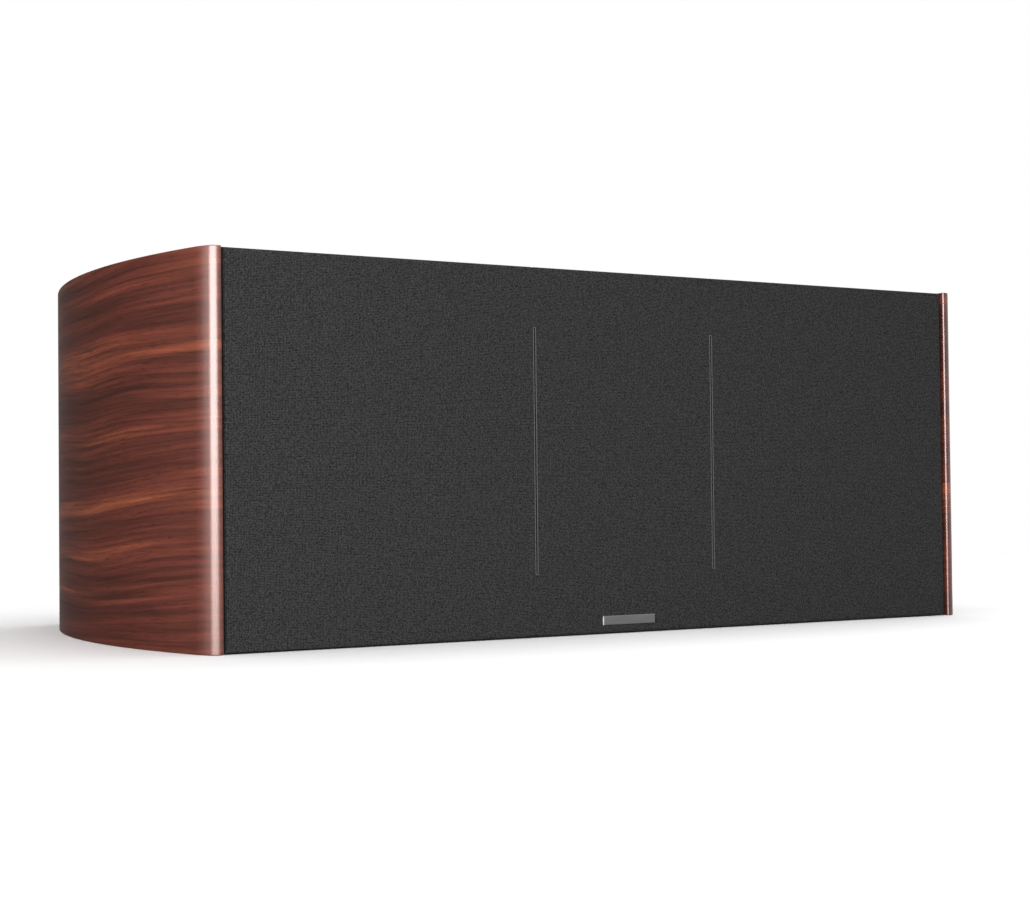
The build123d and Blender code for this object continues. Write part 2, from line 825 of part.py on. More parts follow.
# Slot port: flanged duct through the rear panel
with BuildPart() as port_duct:
    with BuildSketch(upright(cabinet_depth)):
        with Locations((0, port_z)):
            RectangleRounded(port_body[0] + rim_grow, port_body[1] + rim_grow, rear_flange_corner)
    extrude(amount=-rear_flange)
    with BuildSketch(upright(port_front)):
        with Locations((0, port_z)):
            Rectangle(*port_body)
    extrude(amount=-port_length)
    with BuildSketch(upright(port_front)):
        with Locations((0, port_z)):
            add(eased_rectangle(port_width, port_height, port_corner))
    extrude(amount=-(port_length + rear_flange), mode=Mode.SUBTRACT)
    mouth = port_duct.faces().sort_by(Axis.Y)[-1].inner_wires()[0].edges()
    chamfer(mouth, port_flare)

# Crossover: board on pillars over the bottom panel, with its parts
board_low = inner_low + pillar_height
board_top = board_low + board_thickness
board_width = 2 * (brace_x - brace_thickness / 2 - board_side_gap)
board_y = front + port_front - board_port_gap - board_length / 2
pillar_step_x = board_width - 2 * pillar_inset
pillar_step_y = board_length - 2 * pillar_inset

with BuildPart() as crossover_board:
    with BuildSketch(Plane.XY.offset(board_low)):
        with Locations((0, board_y)):
            Rectangle(board_width, board_length)
    extrude(amount=board_thickness)

with BuildPart() as crossover_pillars:
    with BuildSketch(Plane.XY.offset(inner_low)):
        with Locations((0, board_y)):
            with GridLocations(pillar_step_x, pillar_step_y, 2, 2):
                RegularPolygon(pillar_size / 2, 6)
    extrude(amount=pillar_height)

with BuildPart() as crossover_inductors:
    with BuildSketch(Plane.XY.offset(board_top)):
        with Locations((0, board_y - board_length / 4)):
            with GridLocations(board_width / 2, 0, 2, 1):
                Rectangle(core_size, core_size)
    extrude(amount=core_height)
    with BuildSketch(Plane.XY.offset(board_top)):
        with Locations((0, board_y - board_length / 4)):
            with GridLocations(board_width / 2, 0, 2, 1):
                Rectangle(winding_width, core_size + 2 * winding_gap)
    extrude(amount=core_height - 2 * winding_gap)

with BuildPart() as crossover_capacitors:
    with BuildSketch(Plane.XY.offset(board_top)):
        with Locations((0, board_y + board_length / 6)):
            with GridLocations(board_width / 3, 0, 3, 1):
                Rectangle(capacitor_width, capacitor_length)
    extrude(amount=capacitor_height)

with BuildPart() as crossover_resistors:
    with BuildSketch(Plane.XY.offset(board_top)):
        with Locations((0, board_y + board_length * 0.4)):
            with GridLocations(board_width / 3, 0, 2, 1):
                Rectangle(resistor_length, resistor_size)
    extrude(amount=resistor_size)

pieces = {
    "top_panel": top_panel,
    "bottom_panel": bottom_panel,
    "side_panel_left": side_panel_left,
    "side_panel_right": side_panel_right,
    "front_baffle": front_baffle,
    "rear_panel": rear_panel,
    "grille_frame": grille_frame,
    "grille_cloth": grille_cloth,
    "slit_rims": slit_rims,
    "badge_plate": badge_plate,
    "grille_magnets": grille_magnets,
    "grille_keepers": grille_keepers,
    "woofer_baskets": woofer_baskets,
    "woofer_surrounds": woofer_surrounds,
    "woofer_spiders": woofer_spiders,
    "motor_pots": motor_pots,
    "motor_magnets": motor_magnets,
    "motor_pole_plates": motor_pole_plates,
    "centre_plate": centre_plate,
    "midrange_dome": midrange_dome,
    "midrange_chamber": midrange_chamber,
    "tweeter_frame": tweeter_frame,
    "tweeter_magnets": tweeter_magnets,
    "tweeter_pleats": tweeter_pleats,
    "tweeter_cup": tweeter_cup,
    "driver_screws": driver_screws,
    "terminal_cup": terminal_cup,
    "terminal_studs": terminal_studs,
    "port_duct": port_duct,
    "crossover_board": crossover_board,
    "crossover_pillars": crossover_pillars,
    "crossover_inductors": crossover_inductors,
    "crossover_capacitors": crossover_capacitors,
    "crossover_resistors": crossover_resistors,
}
for name in sides:
    pieces[f"brace_{name}"] = braces[name]
    pieces[f"wadding_{name}"] = wadding[name]
    pieces[f"woofer_cone_{name}"] = woofer_cones[name]
for name in post_places:
    pieces[f"terminal_knob_{name}"] = terminal_knobs[name]

os.makedirs("parts", exist_ok=True)
for name, piece in pieces.items():
    piece.part.label = name
    export_step(piece.part, f"parts/{name}.step")
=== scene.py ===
"""Looks of the center channel speaker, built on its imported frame.

Metres, X to the right as seen from the front, Y from front to back, Z up. Profiles of turned
pieces are in millimetres: the radius, and the depth behind the front of the cabinet.
"""

import math

import bmesh
import bpy
from mathutils import Matrix, Vector


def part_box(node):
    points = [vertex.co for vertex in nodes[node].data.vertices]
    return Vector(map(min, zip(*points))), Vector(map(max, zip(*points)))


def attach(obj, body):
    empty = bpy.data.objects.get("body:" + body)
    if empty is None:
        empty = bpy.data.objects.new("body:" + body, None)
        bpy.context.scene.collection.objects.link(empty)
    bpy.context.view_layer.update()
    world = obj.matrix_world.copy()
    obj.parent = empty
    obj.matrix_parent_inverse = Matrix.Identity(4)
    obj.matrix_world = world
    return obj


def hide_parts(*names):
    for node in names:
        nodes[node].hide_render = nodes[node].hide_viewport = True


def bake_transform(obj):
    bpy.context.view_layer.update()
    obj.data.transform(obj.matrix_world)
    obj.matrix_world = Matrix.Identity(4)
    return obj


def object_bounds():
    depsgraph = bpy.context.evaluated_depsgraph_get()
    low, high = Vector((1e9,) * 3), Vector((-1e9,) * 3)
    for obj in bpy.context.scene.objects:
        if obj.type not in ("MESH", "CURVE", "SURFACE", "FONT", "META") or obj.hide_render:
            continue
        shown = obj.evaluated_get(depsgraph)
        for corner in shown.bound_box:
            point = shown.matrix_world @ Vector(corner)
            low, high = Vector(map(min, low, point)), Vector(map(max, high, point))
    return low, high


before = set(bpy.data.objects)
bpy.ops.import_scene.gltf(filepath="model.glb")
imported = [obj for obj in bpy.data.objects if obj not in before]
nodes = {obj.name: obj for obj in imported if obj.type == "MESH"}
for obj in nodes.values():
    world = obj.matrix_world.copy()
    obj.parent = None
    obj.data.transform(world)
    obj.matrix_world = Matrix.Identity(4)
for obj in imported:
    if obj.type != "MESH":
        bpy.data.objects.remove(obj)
cad_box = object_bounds()
low, high = (Vector(corner) for corner in cad_box)
front = low.y
height = high.z

# Bowed side panels: board bent to an arc in plan, veneered in walnut with the grain running from
# front to back, and lacquered. The front edge is rounded and stands a little proud of the grille,
# which lies in a rebate along the panel's inner side.
sides = {"left": -1, "right": 1}
rear_face = front + 0.300
side_radius = 0.428
side_thickness = 0.015
side_widest = front + 0.112
side_ease = 0.0005
nose_radius = 0.006
shoulder_radius = 0.030
shoulder_turn = math.radians(18)
lip_radius = 0.0012
tail_radius = 0.003
cloth_thickness = 0.0008
grille_gap = 0.0013
rebate_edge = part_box("grille_frame")[1].x + cloth_thickness + grille_gap
rebate_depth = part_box("front_baffle")[0].y


def activate(piece):
    """Makes a piece the only one selected."""
    bpy.ops.object.select_all(action="DESELECT")
    piece.select_set(True)
    bpy.context.view_layer.objects.active = piece


def name_piece(piece, name):
    """Gives a piece and its mesh a name."""
    piece.name = name
    piece.data.name = name


def start_piece(name, add, scale=(1, 1, 1), **options):
    """Adds a primitive with nothing else selected, and gives it its name and its size."""
    bpy.ops.object.select_all(action="DESELECT")
    add(**options)
    piece = bpy.context.object
    name_piece(piece, name)
    piece.scale = scale
    bpy.ops.object.transform_apply(location=True, rotation=True, scale=True)
    return piece


def edit(piece):
    """Opens a piece in edit mode with nothing selected."""
    bpy.context.view_layer.objects.active = piece
    bpy.ops.object.mode_set(mode="EDIT")
    bpy.ops.mesh.select_all(action="DESELECT")


def draw_line(name, points):
    """Draws a line from point to point and leaves the piece in edit mode with the line selected."""
    piece = start_piece(name, bpy.ops.mesh.primitive_plane_add, size=0.001, location=points[0])
    edit(piece)
    bpy.ops.mesh.select_mode(type="VERT")
    bpy.ops.mesh.select_all(action="SELECT")
    bpy.ops.mesh.merge(type="CENTER")
    for here, there in zip(points, points[1:]):
        bpy.ops.mesh.extrude_region_move(TRANSFORM_OT_translate={"value": there - here})
    bpy.ops.mesh.select_all(action="SELECT")
    return piece


def arc(centre, radius, begin, end, steps):
    """Points along an arc in plan."""
    turns = [begin + (end - begin) * step / steps for step in range(steps + 1)]
    return [centre + radius * Vector((math.cos(turn), math.sin(turn), 0)) for turn in turns]


def apply_modifier(piece, kind, **settings):
    """Adds a modifier with its settings and applies it."""
    activate(piece)
    modifier = piece.modifiers.new(kind.title(), kind)
    for key, value in settings.items():
        setattr(modifier, key, value)
    bpy.ops.object.modifier_apply(modifier=modifier.name)


def smooth(piece, degrees=35):
    """Smooth shading with the sharp edges kept."""
    activate(piece)
    bpy.ops.object.shade_smooth_by_angle(angle=math.radians(degrees))


def soften(piece, width=0.0004, degrees=40):
    """Rounds the sharp edges a little and shades the piece smooth."""
    limit = math.radians(degrees)
    apply_modifier(piece, "BEVEL", width=width, segments=2, limit_method="ANGLE", angle_limit=limit)
    smooth(piece)
    apply_modifier(piece, "WEIGHTED_NORMAL", keep_sharp=True)


def finish_piece(piece, material, body, slot, *replaced):
    """Gives a new piece its material, its body and the nodes that it stands for."""
    piece.data.materials.clear()
    piece.data.materials.append(material)
    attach(piece, body)
    if replaced:
        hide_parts(*replaced)


def new_material(name):
    """A material with one Principled shader, its node tree and the shader."""
    material = bpy.data.materials.new(name)
    material.use_nodes = True
    return material, material.node_tree, material.node_tree.nodes["Principled BSDF"]


def connect(tree, value, socket):
    """Links an output to a socket, or sets a plain value on it."""
    if isinstance(value, bpy.types.NodeSocket):
        tree.links.new(value, socket)
    else:
        socket.default_value = value


def put(tree, kind, settings=None, **inputs):
    """Adds a node with its settings and inputs. An input with no name of its own is given by number."""
    node = tree.nodes.new(kind)
    for key, value in (settings or {}).items():
        setattr(node, key, value)
    for key, value in inputs.items():
        connect(tree, value, node.inputs[int(key[1:]) if key[0] == "_" else key.replace("_", " ")])
    return node


def stretch(tree, place, scale=(1, 1, 1), location=(0, 0, 0), rotation=(0, 0, 0)):
    """Coordinates moved, turned and scaled."""
    node = put(
        tree, "ShaderNodeMapping", Vector=place, Scale=scale, Location=location, Rotation=rotation
    )
    return node.outputs["Vector"]


def object_place(tree, scale=(1, 1, 1), **moves):
    """Object coordinates, moved, turned and scaled."""
    return stretch(tree, put(tree, "ShaderNodeTexCoord").outputs["Object"], scale, **moves)


def noise(tree, place, scale=1.0, detail=2.0, roughness=0.5):
    """Noise between 0 and 1."""
    node = put(tree, "ShaderNodeTexNoise", Vector=place, Scale=scale, Detail=detail, Roughness=roughness)
    return node.outputs["Fac"]


def ramp(tree, value, *stops):
    """Colours or greys along a value, from (position, grey or colour) stops."""
    node = put(tree, "ShaderNodeValToRGB", Fac=value)
    elements = node.color_ramp.elements
    while len(elements) < len(stops):
        elements.new(0.5)
    for element, (position, colour) in zip(elements, stops):
        element.position = position
        element.color = (*colour, 1) if isinstance(colour, tuple) else (colour, colour, colour, 1)
    return node.outputs["Color"]


def blend_colours(tree, kind, share, first, second):
    """Two colours mixed, multiplied or otherwise combined."""
    node = put(
        tree, "ShaderNodeMix", {"data_type": "RGBA", "blend_type": kind}, _0=share, _6=first, _7=second
    )
    return node.outputs[2]


def vary(tree, shader, socket, value, *stops):
    """Lets one of the shader's inputs follow a value, by a ramp."""
    tree.links.new(ramp(tree, value, *stops), shader.inputs[socket])


def keep(shader, **values):
    """Sets inputs of the shader that are the same all over the surface."""
    for key, value in values.items():
        shader.inputs[key.replace("_", " ")].default_value = value


def bump(tree, shader, value, strength, distance):
    """Surface relief from a value."""
    node = put(tree, "ShaderNodeBump", Strength=strength, Distance=distance, Height=value)
    tree.links.new(node.outputs["Normal"], shader.inputs["Normal"])


def walnut_veneer(name, turn):
    """Lacquered walnut whose growth bands are turned round the width of the cabinet."""
    material, tree, shader = new_material(name)
    laid = object_place(tree, rotation=(turn, 0, 0))
    slow = stretch(tree, laid, (1.5, 3.4, 7.0))
    warp = put(tree, "ShaderNodeTexNoise", Vector=slow, Scale=1.0, Detail=1.5).outputs["Color"]
    sway = (0.0, 0.0, 0.040)
    wavy = put(
        tree, "ShaderNodeVectorMath", {"operation": "MULTIPLY_ADD"}, _0=warp, _1=sway, _2=laid
    ).outputs["Vector"]
    figure_place = stretch(tree, wavy, (1.5, 1.6, 58.0), (0.3, 0.2, 3.4))
    figure = noise(tree, figure_place, detail=4.0, roughness=0.58)
    growth = ramp(
        tree,
        figure,
        (0.26, (0.012, 0.0021, 0.0016)),
        (0.43, (0.026, 0.0048, 0.0030)),
        (0.56, (0.044, 0.0087, 0.0048)),
        (0.66, (0.105, 0.0255, 0.0098)),
        (0.80, (0.053, 0.0117, 0.0061)),
    )
    streaks = noise(tree, stretch(tree, wavy, (9.0, 9.0, 430.0)), detail=3.0, roughness=0.6)
    pores = noise(tree, stretch(tree, wavy, (110.0, 110.0, 1700.0)), detail=1.0)
    streak_shade = ramp(tree, streaks, (0.28, 0.42), (0.70, 1.55))
    pore_shade = ramp(tree, pores, (0.30, 0.55), (0.42, 1.0))
    streaked = blend_colours(tree, "MULTIPLY", 1.0, growth, streak_shade)
    porous = blend_colours(tree, "MULTIPLY", 1.0, streaked, pore_shade)
    tree.links.new(porous, shader.inputs["Base Color"])
    vary(tree, shader, "Roughness", streaks, (0.2, 0.50), (0.8, 0.60))
    keep(shader, Specular_IOR_Level=0.6, Specular_Tint=(1.0, 0.48, 0.38, 1))
    keep(shader, Coat_Weight=0.85, Coat_Roughness=0.31)
    bump(tree, shader, pores, 0.05, 0.0003)
    return material


bow_centre = Vector((high.x - side_radius, side_widest, 0))
inner_radius = side_radius - side_thickness
bow_reach = side_radius - shoulder_radius
shoulder_reach = shoulder_radius - nose_radius
along = bow_reach + shoulder_reach * math.cos(shoulder_turn)
across = shoulder_reach * math.sin(shoulder_turn)
nose_rise = (front + nose_radius - side_widest) / math.hypot(along, across)
bow_end = math.atan2(across, along) + math.asin(nose_rise)
nose_turn = bow_end - shoulder_turn
tail_reach = side_radius - tail_radius
tail_turn = math.asin((rear_face - tail_radius - side_widest) / tail_reach)
shoulder_centre = arc(bow_centre, bow_reach, bow_end, bow_end, 1)[0]
nose_centre = arc(shoulder_centre, shoulder_reach, nose_turn, nose_turn, 1)[0]
tail_centre = arc(bow_centre, tail_reach, tail_turn, tail_turn, 1)[0]
lip_centre = Vector((rebate_edge + lip_radius, front + lip_radius, 0))
inner_turns = [math.asin((y - side_widest) / inner_radius) for y in (rebate_depth, rear_face)]
plan = [
    *arc(tail_centre, tail_radius, math.pi / 2, tail_turn, 6),
    *arc(bow_centre, side_radius, tail_turn, bow_end, 64)[1:],
    *arc(shoulder_centre, shoulder_radius, bow_end, nose_turn, 12)[1:],
    *arc(nose_centre, nose_radius, nose_turn, -math.pi / 2, 18)[1:],
    *arc(lip_centre, lip_radius, -math.pi / 2, -math.pi, 8),
    Vector((rebate_edge, rebate_depth, 0)),
    *arc(bow_centre, inner_radius, *inner_turns, 40),
]
side_walnut = walnut_veneer("walnut_veneer", math.radians(3))
for side, sign in sides.items():
    outline = [Vector((sign * point.x, point.y, 0)) for point in plan]
    panel = draw_line(f"walnut_side_{side}", outline)
    bpy.ops.mesh.edge_face_add()
    bpy.ops.mesh.extrude_region_move(TRANSFORM_OT_translate={"value": (0, 0, height)})
    bpy.ops.mesh.select_all(action="SELECT")
    bpy.ops.mesh.normals_make_consistent(inside=False)
    bpy.ops.object.mode_set(mode="OBJECT")
    soften(panel, side_ease, 50)
    finish_piece(panel, side_walnut, "cabinet", "walnut_veneer", f"side_panel_{side}")


# Top and bottom panels: flat boards let in between the sides, veneered to match, with the grain
# running from side to side. Their front edges stop at the grille's seat.
def dress(material, *names):
    """Gives nodes a material."""
    for name in names:
        nodes[name].data.materials.clear()
        nodes[name].data.materials.append(material)


dress(walnut_veneer("walnut_top", math.radians(93)), "top_panel", "bottom_panel")


# Front baffle and rear panel: board with a satin black paint that shows a slight orange peel.
# Both are glued in between the four outer panels.
def grained(name, scale, dark, light, rough, relief, metallic=0.0, pull=(1, 1, 1)):
    """A material whose colour, roughness and relief follow one fine grain."""
    material, tree, shader = new_material(name)
    grain = noise(tree, object_place(tree, pull), scale=scale, detail=3.0, roughness=0.6)
    vary(tree, shader, "Base Color", grain, (0.3, dark), (0.7, light))
    vary(tree, shader, "Roughness", grain, (0.3, rough[0]), (0.7, rough[1]))
    keep(shader, Metallic=metallic)
    bump(tree, shader, grain, relief, 0.0003)
    return material


black_paint = grained("satin_black_paint", 420.0, 0.012, 0.020, (0.42, 0.55), 0.08)
dress(black_paint, "front_baffle", "rear_panel")

# Braces: two window frames of bare fibreboard between baffle and rear panel, glued in.
# The sawn board shows its brown fibres.
board_dark = (0.17, 0.10, 0.055)
board_light = (0.31, 0.20, 0.115)
raw_board = grained("raw_fibreboard", 1100.0, board_dark, board_light, (0.78, 0.92), 0.3)
dress(raw_board, "brace_left", "brace_right")

# Wadding: a pad of white polyester fibre on the rear panel behind each bass unit, held by
# staples. Its faces are tufted and only the side on the panel is flat.
pad_slack = Vector((0.004, 0.004, 0.004))
pad_round = 0.008
pad_flat = 0.006
pad_gap = 0.0002
tuft_height = 0.009
tuft_size = 0.014


def pick(piece, kind, test):
    """Selects only the vertices, edges or faces that pass a test, while the piece is being edited."""
    bpy.ops.mesh.select_mode(type=kind)
    bpy.ops.mesh.select_all(action="DESELECT")
    mesh = bmesh.from_edit_mesh(piece.data)
    for item in {"VERT": mesh.verts, "EDGE": mesh.edges, "FACE": mesh.faces}[kind]:
        if test(item):
            item.select_set(True)
    mesh.select_flush_mode()
    bmesh.update_edit_mesh(piece.data)


def block(name, centre, size):
    """A box of a size round its centre."""
    return start_piece(name, bpy.ops.mesh.primitive_cube_add, scale=size, size=1, location=centre)


fibre, tree, shader = new_material("polyester_fibre")
strands = noise(tree, object_place(tree, (1, 1, 0.25)), scale=1400.0, detail=3.0, roughness=0.7)
strand_shade = ramp(tree, strands, (0.3, 0.45), (0.7, 0.80))
tufts = noise(tree, object_place(tree), scale=140.0, detail=2.0)
tuft_shade = ramp(tree, tufts, (0.3, 0.75), (0.7, 1.0))
fibre_colour = blend_colours(tree, "MULTIPLY", 1.0, strand_shade, tuft_shade)
tree.links.new(fibre_colour, shader.inputs["Base Color"])
keep(shader, Roughness=0.95, Sheen_Weight=0.4)
bump(tree, shader, strands, 0.6, 0.0008)
tuft_clouds = bpy.data.textures.new("tuft_clouds", "CLOUDS")
tuft_clouds.noise_scale = tuft_size
tuft_clouds.noise_depth = 3
for side in sides:
    pad_low, pad_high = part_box(f"wadding_{side}")
    pad = block(f"fibre_pad_{side}", (pad_low + pad_high) / 2, pad_high - pad_low - 2 * pad_slack)
    edit(pad)
    bpy.ops.mesh.select_all(action="SELECT")
    bpy.ops.mesh.bevel(offset=pad_round, segments=3, affect="EDGES")
    bpy.ops.mesh.select_all(action="SELECT")
    bpy.ops.mesh.subdivide(number_cuts=11)
    bpy.ops.object.mode_set(mode="OBJECT")
    apply_modifier(
        pad,
        "DISPLACE",
        texture=tuft_clouds,
        texture_coords="LOCAL",
        strength=tuft_height,
        mid_level=0.45,
    )
    edit(pad)
    pick(pad, "VERT", lambda vertex: vertex.co.y > pad_high.y - pad_flat)
    bpy.ops.transform.resize(value=(1, 0, 1), center_override=(0, pad_high.y - pad_gap, 0))
    bpy.ops.object.mode_set(mode="OBJECT")
    smooth(pad, 60)
    finish_piece(pad, fibre, "cabinet", "wadding", f"wadding_{side}")


# Crossover board: green glass-fibre laminate with tinned tracks, on four nylon pillars over
# the bottom panel, behind the drivers.
def wave_bands(tree, direction, scale, distortion, **details):
    """Light and dark bands across one direction, between 0 and 1."""
    node = put(
        tree,
        "ShaderNodeTexWave",
        {"wave_type": "BANDS", "bands_direction": direction},
        Vector=object_place(tree),
        Scale=scale,
        Distortion=distortion,
        **details,
    )
    return node.outputs["Fac"]


laminate, tree, shader = new_material("green_laminate")
tracks = wave_bands(tree, "X", 38.0, 7.0, Detail=0.0, Detail_Scale=0.4)
track_mask = ramp(tree, tracks, (0.60, 0.0), (0.66, 1.0))
glass = noise(tree, object_place(tree), scale=900.0, detail=2.0)
glass_green = ramp(tree, glass, (0.3, (0.010, 0.055, 0.022)), (0.7, (0.016, 0.085, 0.034)))
track_green = (0.035, 0.150, 0.065, 1)
board_colour = blend_colours(tree, "MIX", track_mask, glass_green, track_green)
tree.links.new(board_colour, shader.inputs["Base Color"])
vary(tree, shader, "Roughness", tracks, (0.4, 0.42), (0.7, 0.28))
bump(tree, shader, track_mask, 0.3, 0.0002)
dress(laminate, "crossover_board")
nylon = grained("white_nylon", 600.0, (0.58, 0.57, 0.53), (0.70, 0.69, 0.65), (0.40, 0.52), 0.1)
dress(nylon, "crossover_pillars")

# Crossover parts: two inductors on laminated cores with enamelled copper windings, three film
# capacitors in moulded shells and two ceramic resistors, all soldered to the board.
winding_width = 0.0206
winding_height = 0.0236
winding_inset = 0.017
winding_rise = 0.0122
winding_round = 0.004
winding_slack = 0.0001
laminations = grained("core_laminations", 260.0, 0.05, 0.11, (0.45, 0.6), 0.2, 0.6, (1, 1, 14))
dress(laminations, "crossover_inductors")
shell_dark = (0.20, 0.055, 0.012)
shell_light = (0.27, 0.080, 0.018)
shell_red = grained("capacitor_shell", 500.0, shell_dark, shell_light, (0.30, 0.40), 0.06)
dress(shell_red, "crossover_capacitors")
ceramic_dark = (0.60, 0.58, 0.54)
ceramic_light = (0.74, 0.72, 0.68)
ceramic = grained("glazed_ceramic", 900.0, ceramic_dark, ceramic_light, (0.50, 0.68), 0.15)
dress(ceramic, "crossover_resistors")

copper, tree, shader = new_material("enamelled_copper")
wires = wave_bands(tree, "Z", 420.0, 0.6)
vary(tree, shader, "Base Color", wires, (0.1, (0.16, 0.045, 0.018)), (0.8, (0.50, 0.17, 0.07)))
vary(tree, shader, "Roughness", wires, (0.1, 0.5), (0.8, 0.26))
keep(shader, Metallic=0.85)
bump(tree, shader, wires, 0.6, 0.0004)
core_low, core_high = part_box("crossover_inductors")
core_middle = (core_low.y + core_high.y) / 2
for side, sign in sides.items():
    winding = block(
        f"inductor_winding_{side}",
        (sign * (core_high.x - winding_inset), core_middle, core_low.z + winding_rise),
        (winding_width, core_high.y - core_low.y - winding_slack, winding_height),
    )
    apply_modifier(winding, "BEVEL", width=winding_round, segments=4)
    smooth(winding)
    finish_piece(winding, copper, "cabinet", "post_brass")

# Bass units, baskets: cast flange with a rounded rim, six spokes and the tray that carries the
# motor, in one casting with a fine black powder coat. Each sits in a rebate of the baffle.
flange_radius = 72.4
flange_opening = 60.0
flange_front = 8.0
flange_back = 12.0
flange_rim = 0.5
flange_throat = 1.0
screw_ring = 69.05
screw_hole = 0.0030
drill_length = 0.020
spoke_count = 6
spoke_ease = 0.0005
spoke_turn = math.radians(8)
spoke_outer = 65.1
spoke_reach = 3.2
spoke_inner = spoke_outer - spoke_reach
spoke_waist = flange_back + 8.0
tray_radius = 44.0
tray_edge = 41.0
tray_opening = 21.0
tray_front = 60.0
tray_back = 64.0
ledge_inner = 34.2
ledge_front = 56.05


def tidy_mesh():
    """Merges what meets and turns all faces outward, in the piece that is being edited."""
    bpy.ops.mesh.select_all(action="SELECT")
    bpy.ops.mesh.remove_doubles(threshold=2e-6)
    bpy.ops.mesh.normals_make_consistent(inside=False)
    bpy.ops.object.mode_set(mode="OBJECT")


def lathe(name, place, profile, steps=96, begin=0.0, turn=2 * math.pi):
    """Draws a profile of radius and depth and spins it round an axis from front to back."""
    outward = Vector((math.cos(begin), 0, math.sin(begin)))
    axis = Vector((place[0], front, place[1]))
    points = [axis + (outward * radius + Vector((0, depth, 0))) / 1000 for radius, depth in profile]
    piece = draw_line(name, points)
    bpy.ops.mesh.spin(steps=steps, angle=turn, center=axis, axis=(0, 1, 0))
    tidy_mesh()
    return piece


def rod(name, centre, radius, length, vertices=32):
    """A cylinder that runs from front to back."""
    return start_piece(
        name,
        bpy.ops.mesh.primitive_cylinder_add,
        vertices=vertices,
        radius=radius,
        depth=length,
        location=centre,
        rotation=(math.pi / 2, 0, 0),
    )


def combine(piece, tool, operation="DIFFERENCE"):
    """Cuts a tool's shape out of a piece, or adds it, and removes the tool."""
    apply_modifier(piece, "BOOLEAN", object=tool, operation=operation, solver="EXACT")
    bpy.data.objects.remove(tool)


def bore(piece, x, z, radius, near, far):
    """Drills a round hole from front to back."""
    combine(piece, rod("drill", (x, (near + far) / 2, z), radius, far - near))


def copy_piece(piece, name, shift=(0, 0, 0), turn=0.0, centre=(0, 0, 0)):
    """A copy of a piece with a mesh of its own, turned round an axis from front to back and moved."""
    activate(piece)
    bpy.ops.object.duplicate()
    copied = bpy.context.object
    name_piece(copied, name)
    bpy.ops.transform.rotate(value=turn, orient_axis="Y", center_override=centre)
    bpy.ops.transform.translate(value=shift)
    bpy.ops.object.transform_apply(location=True, rotation=True, scale=True)
    return copied


def join(pieces, name):
    """Joins pieces into one and merges what meets."""
    activate(pieces[0])
    for piece in pieces:
        piece.select_set(True)
    bpy.ops.object.join()
    joined = bpy.context.object
    name_piece(joined, name)
    edit(joined)
    tidy_mesh()
    return joined


powder_coat = grained("black_powder_coat", 1500.0, 0.010, 0.024, (0.46, 0.60), 0.25)
flange_profile = [
    (flange_opening, flange_back),
    (flange_opening, flange_front + flange_throat),
    (flange_opening + flange_throat, flange_front),
    (flange_radius - flange_rim, flange_front),
    (flange_radius, flange_front + flange_rim),
    (flange_radius, flange_back),
    (flange_opening, flange_back),
]
spoke_profile = [
    (spoke_inner, flange_back),
    (spoke_outer, flange_back),
    (spoke_outer, spoke_waist + spoke_reach),
    (tray_radius, tray_back),
    (tray_radius - spoke_reach, tray_back),
    (tray_radius - spoke_reach, tray_front),
    (spoke_inner, spoke_waist),
    (spoke_inner, flange_back),
]
tray_profile = [
    (tray_opening, tray_back),
    (tray_opening, tray_front),
    (ledge_inner, tray_front),
    (ledge_inner, ledge_front),
    (tray_edge, ledge_front),
    (tray_edge, tray_back),
    (tray_opening, tray_back),
]
screw_places = []
woofer_places = {}
for side in sides:
    cone_low, cone_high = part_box(f"woofer_cone_{side}")
    place = ((cone_low.x + cone_high.x) / 2, (cone_low.z + cone_high.z) / 2)
    woofer_places[side] = place
    flange = lathe(f"flange_{side}", place, flange_profile, steps=120)
    for quarter in range(4):
        angle = math.radians(45 + 90 * quarter)
        screw_x = place[0] + screw_ring / 1000 * math.cos(angle)
        screw_z = place[1] + screw_ring / 1000 * math.sin(angle)
        bore(flange, screw_x, screw_z, screw_hole, front, front + drill_length)
        screw_places.append((screw_x, front + flange_front / 1000, screw_z))
    soften(flange)
    spoke = lathe(
        f"spoke_{side}", place, spoke_profile, steps=4, begin=-spoke_turn / 2, turn=spoke_turn
    )
    edit(spoke)
    bpy.ops.mesh.select_all(action="SELECT")
    bpy.ops.mesh.fill_holes(sides=0)
    bpy.ops.mesh.normals_make_consistent(inside=False)
    bpy.ops.object.mode_set(mode="OBJECT")
    axis = (place[0], front, place[1])
    others = [
        copy_piece(spoke, f"spoke_{side}_{step}", turn=math.tau * step / spoke_count, centre=axis)
        for step in range(1, spoke_count)
    ]
    tray = lathe(f"tray_{side}", place, tray_profile, steps=72)
    casting = join([tray, spoke, *others], f"spokes_{side}")
    soften(casting, spoke_ease)
    for piece in (flange, casting):
        finish_piece(piece, powder_coat, "cabinet", "basket", "woofer_baskets")

# Surrounds: half rolls of black rubber, glued to the flange outside and to the cone inside.
# On the real unit the outer foot stays on the basket; here the whole roll travels with the cone.
roll_middle = 54.9
roll_half = 3.8
roll_foot = 11.0
roll_height = 2.4
roll_skin = 0.5
roll_steps = 12
outer_front = [(59.85, 11.3), (58.9, 11.2)]
outer_back = [(58.9, 11.8), (59.85, 11.9), (59.85, 11.3)]
inner_foot = [(50.4, 10.75), (48.6, 10.75), (48.6, 10.98), (50.4, 11.35)]
sector_count = 24


def soft_ring(name, place, profile):
    """Spins a profile in sectors and joins them to a ring."""
    sectors = []
    sector_turn = math.tau / sector_count
    for step in range(sector_count):
        begin = step * sector_turn
        sector = lathe(f"{name}_{step}", place, profile, steps=4, begin=begin, turn=sector_turn)
        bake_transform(sector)
        sectors.append(sector)
    return join(sectors, name)


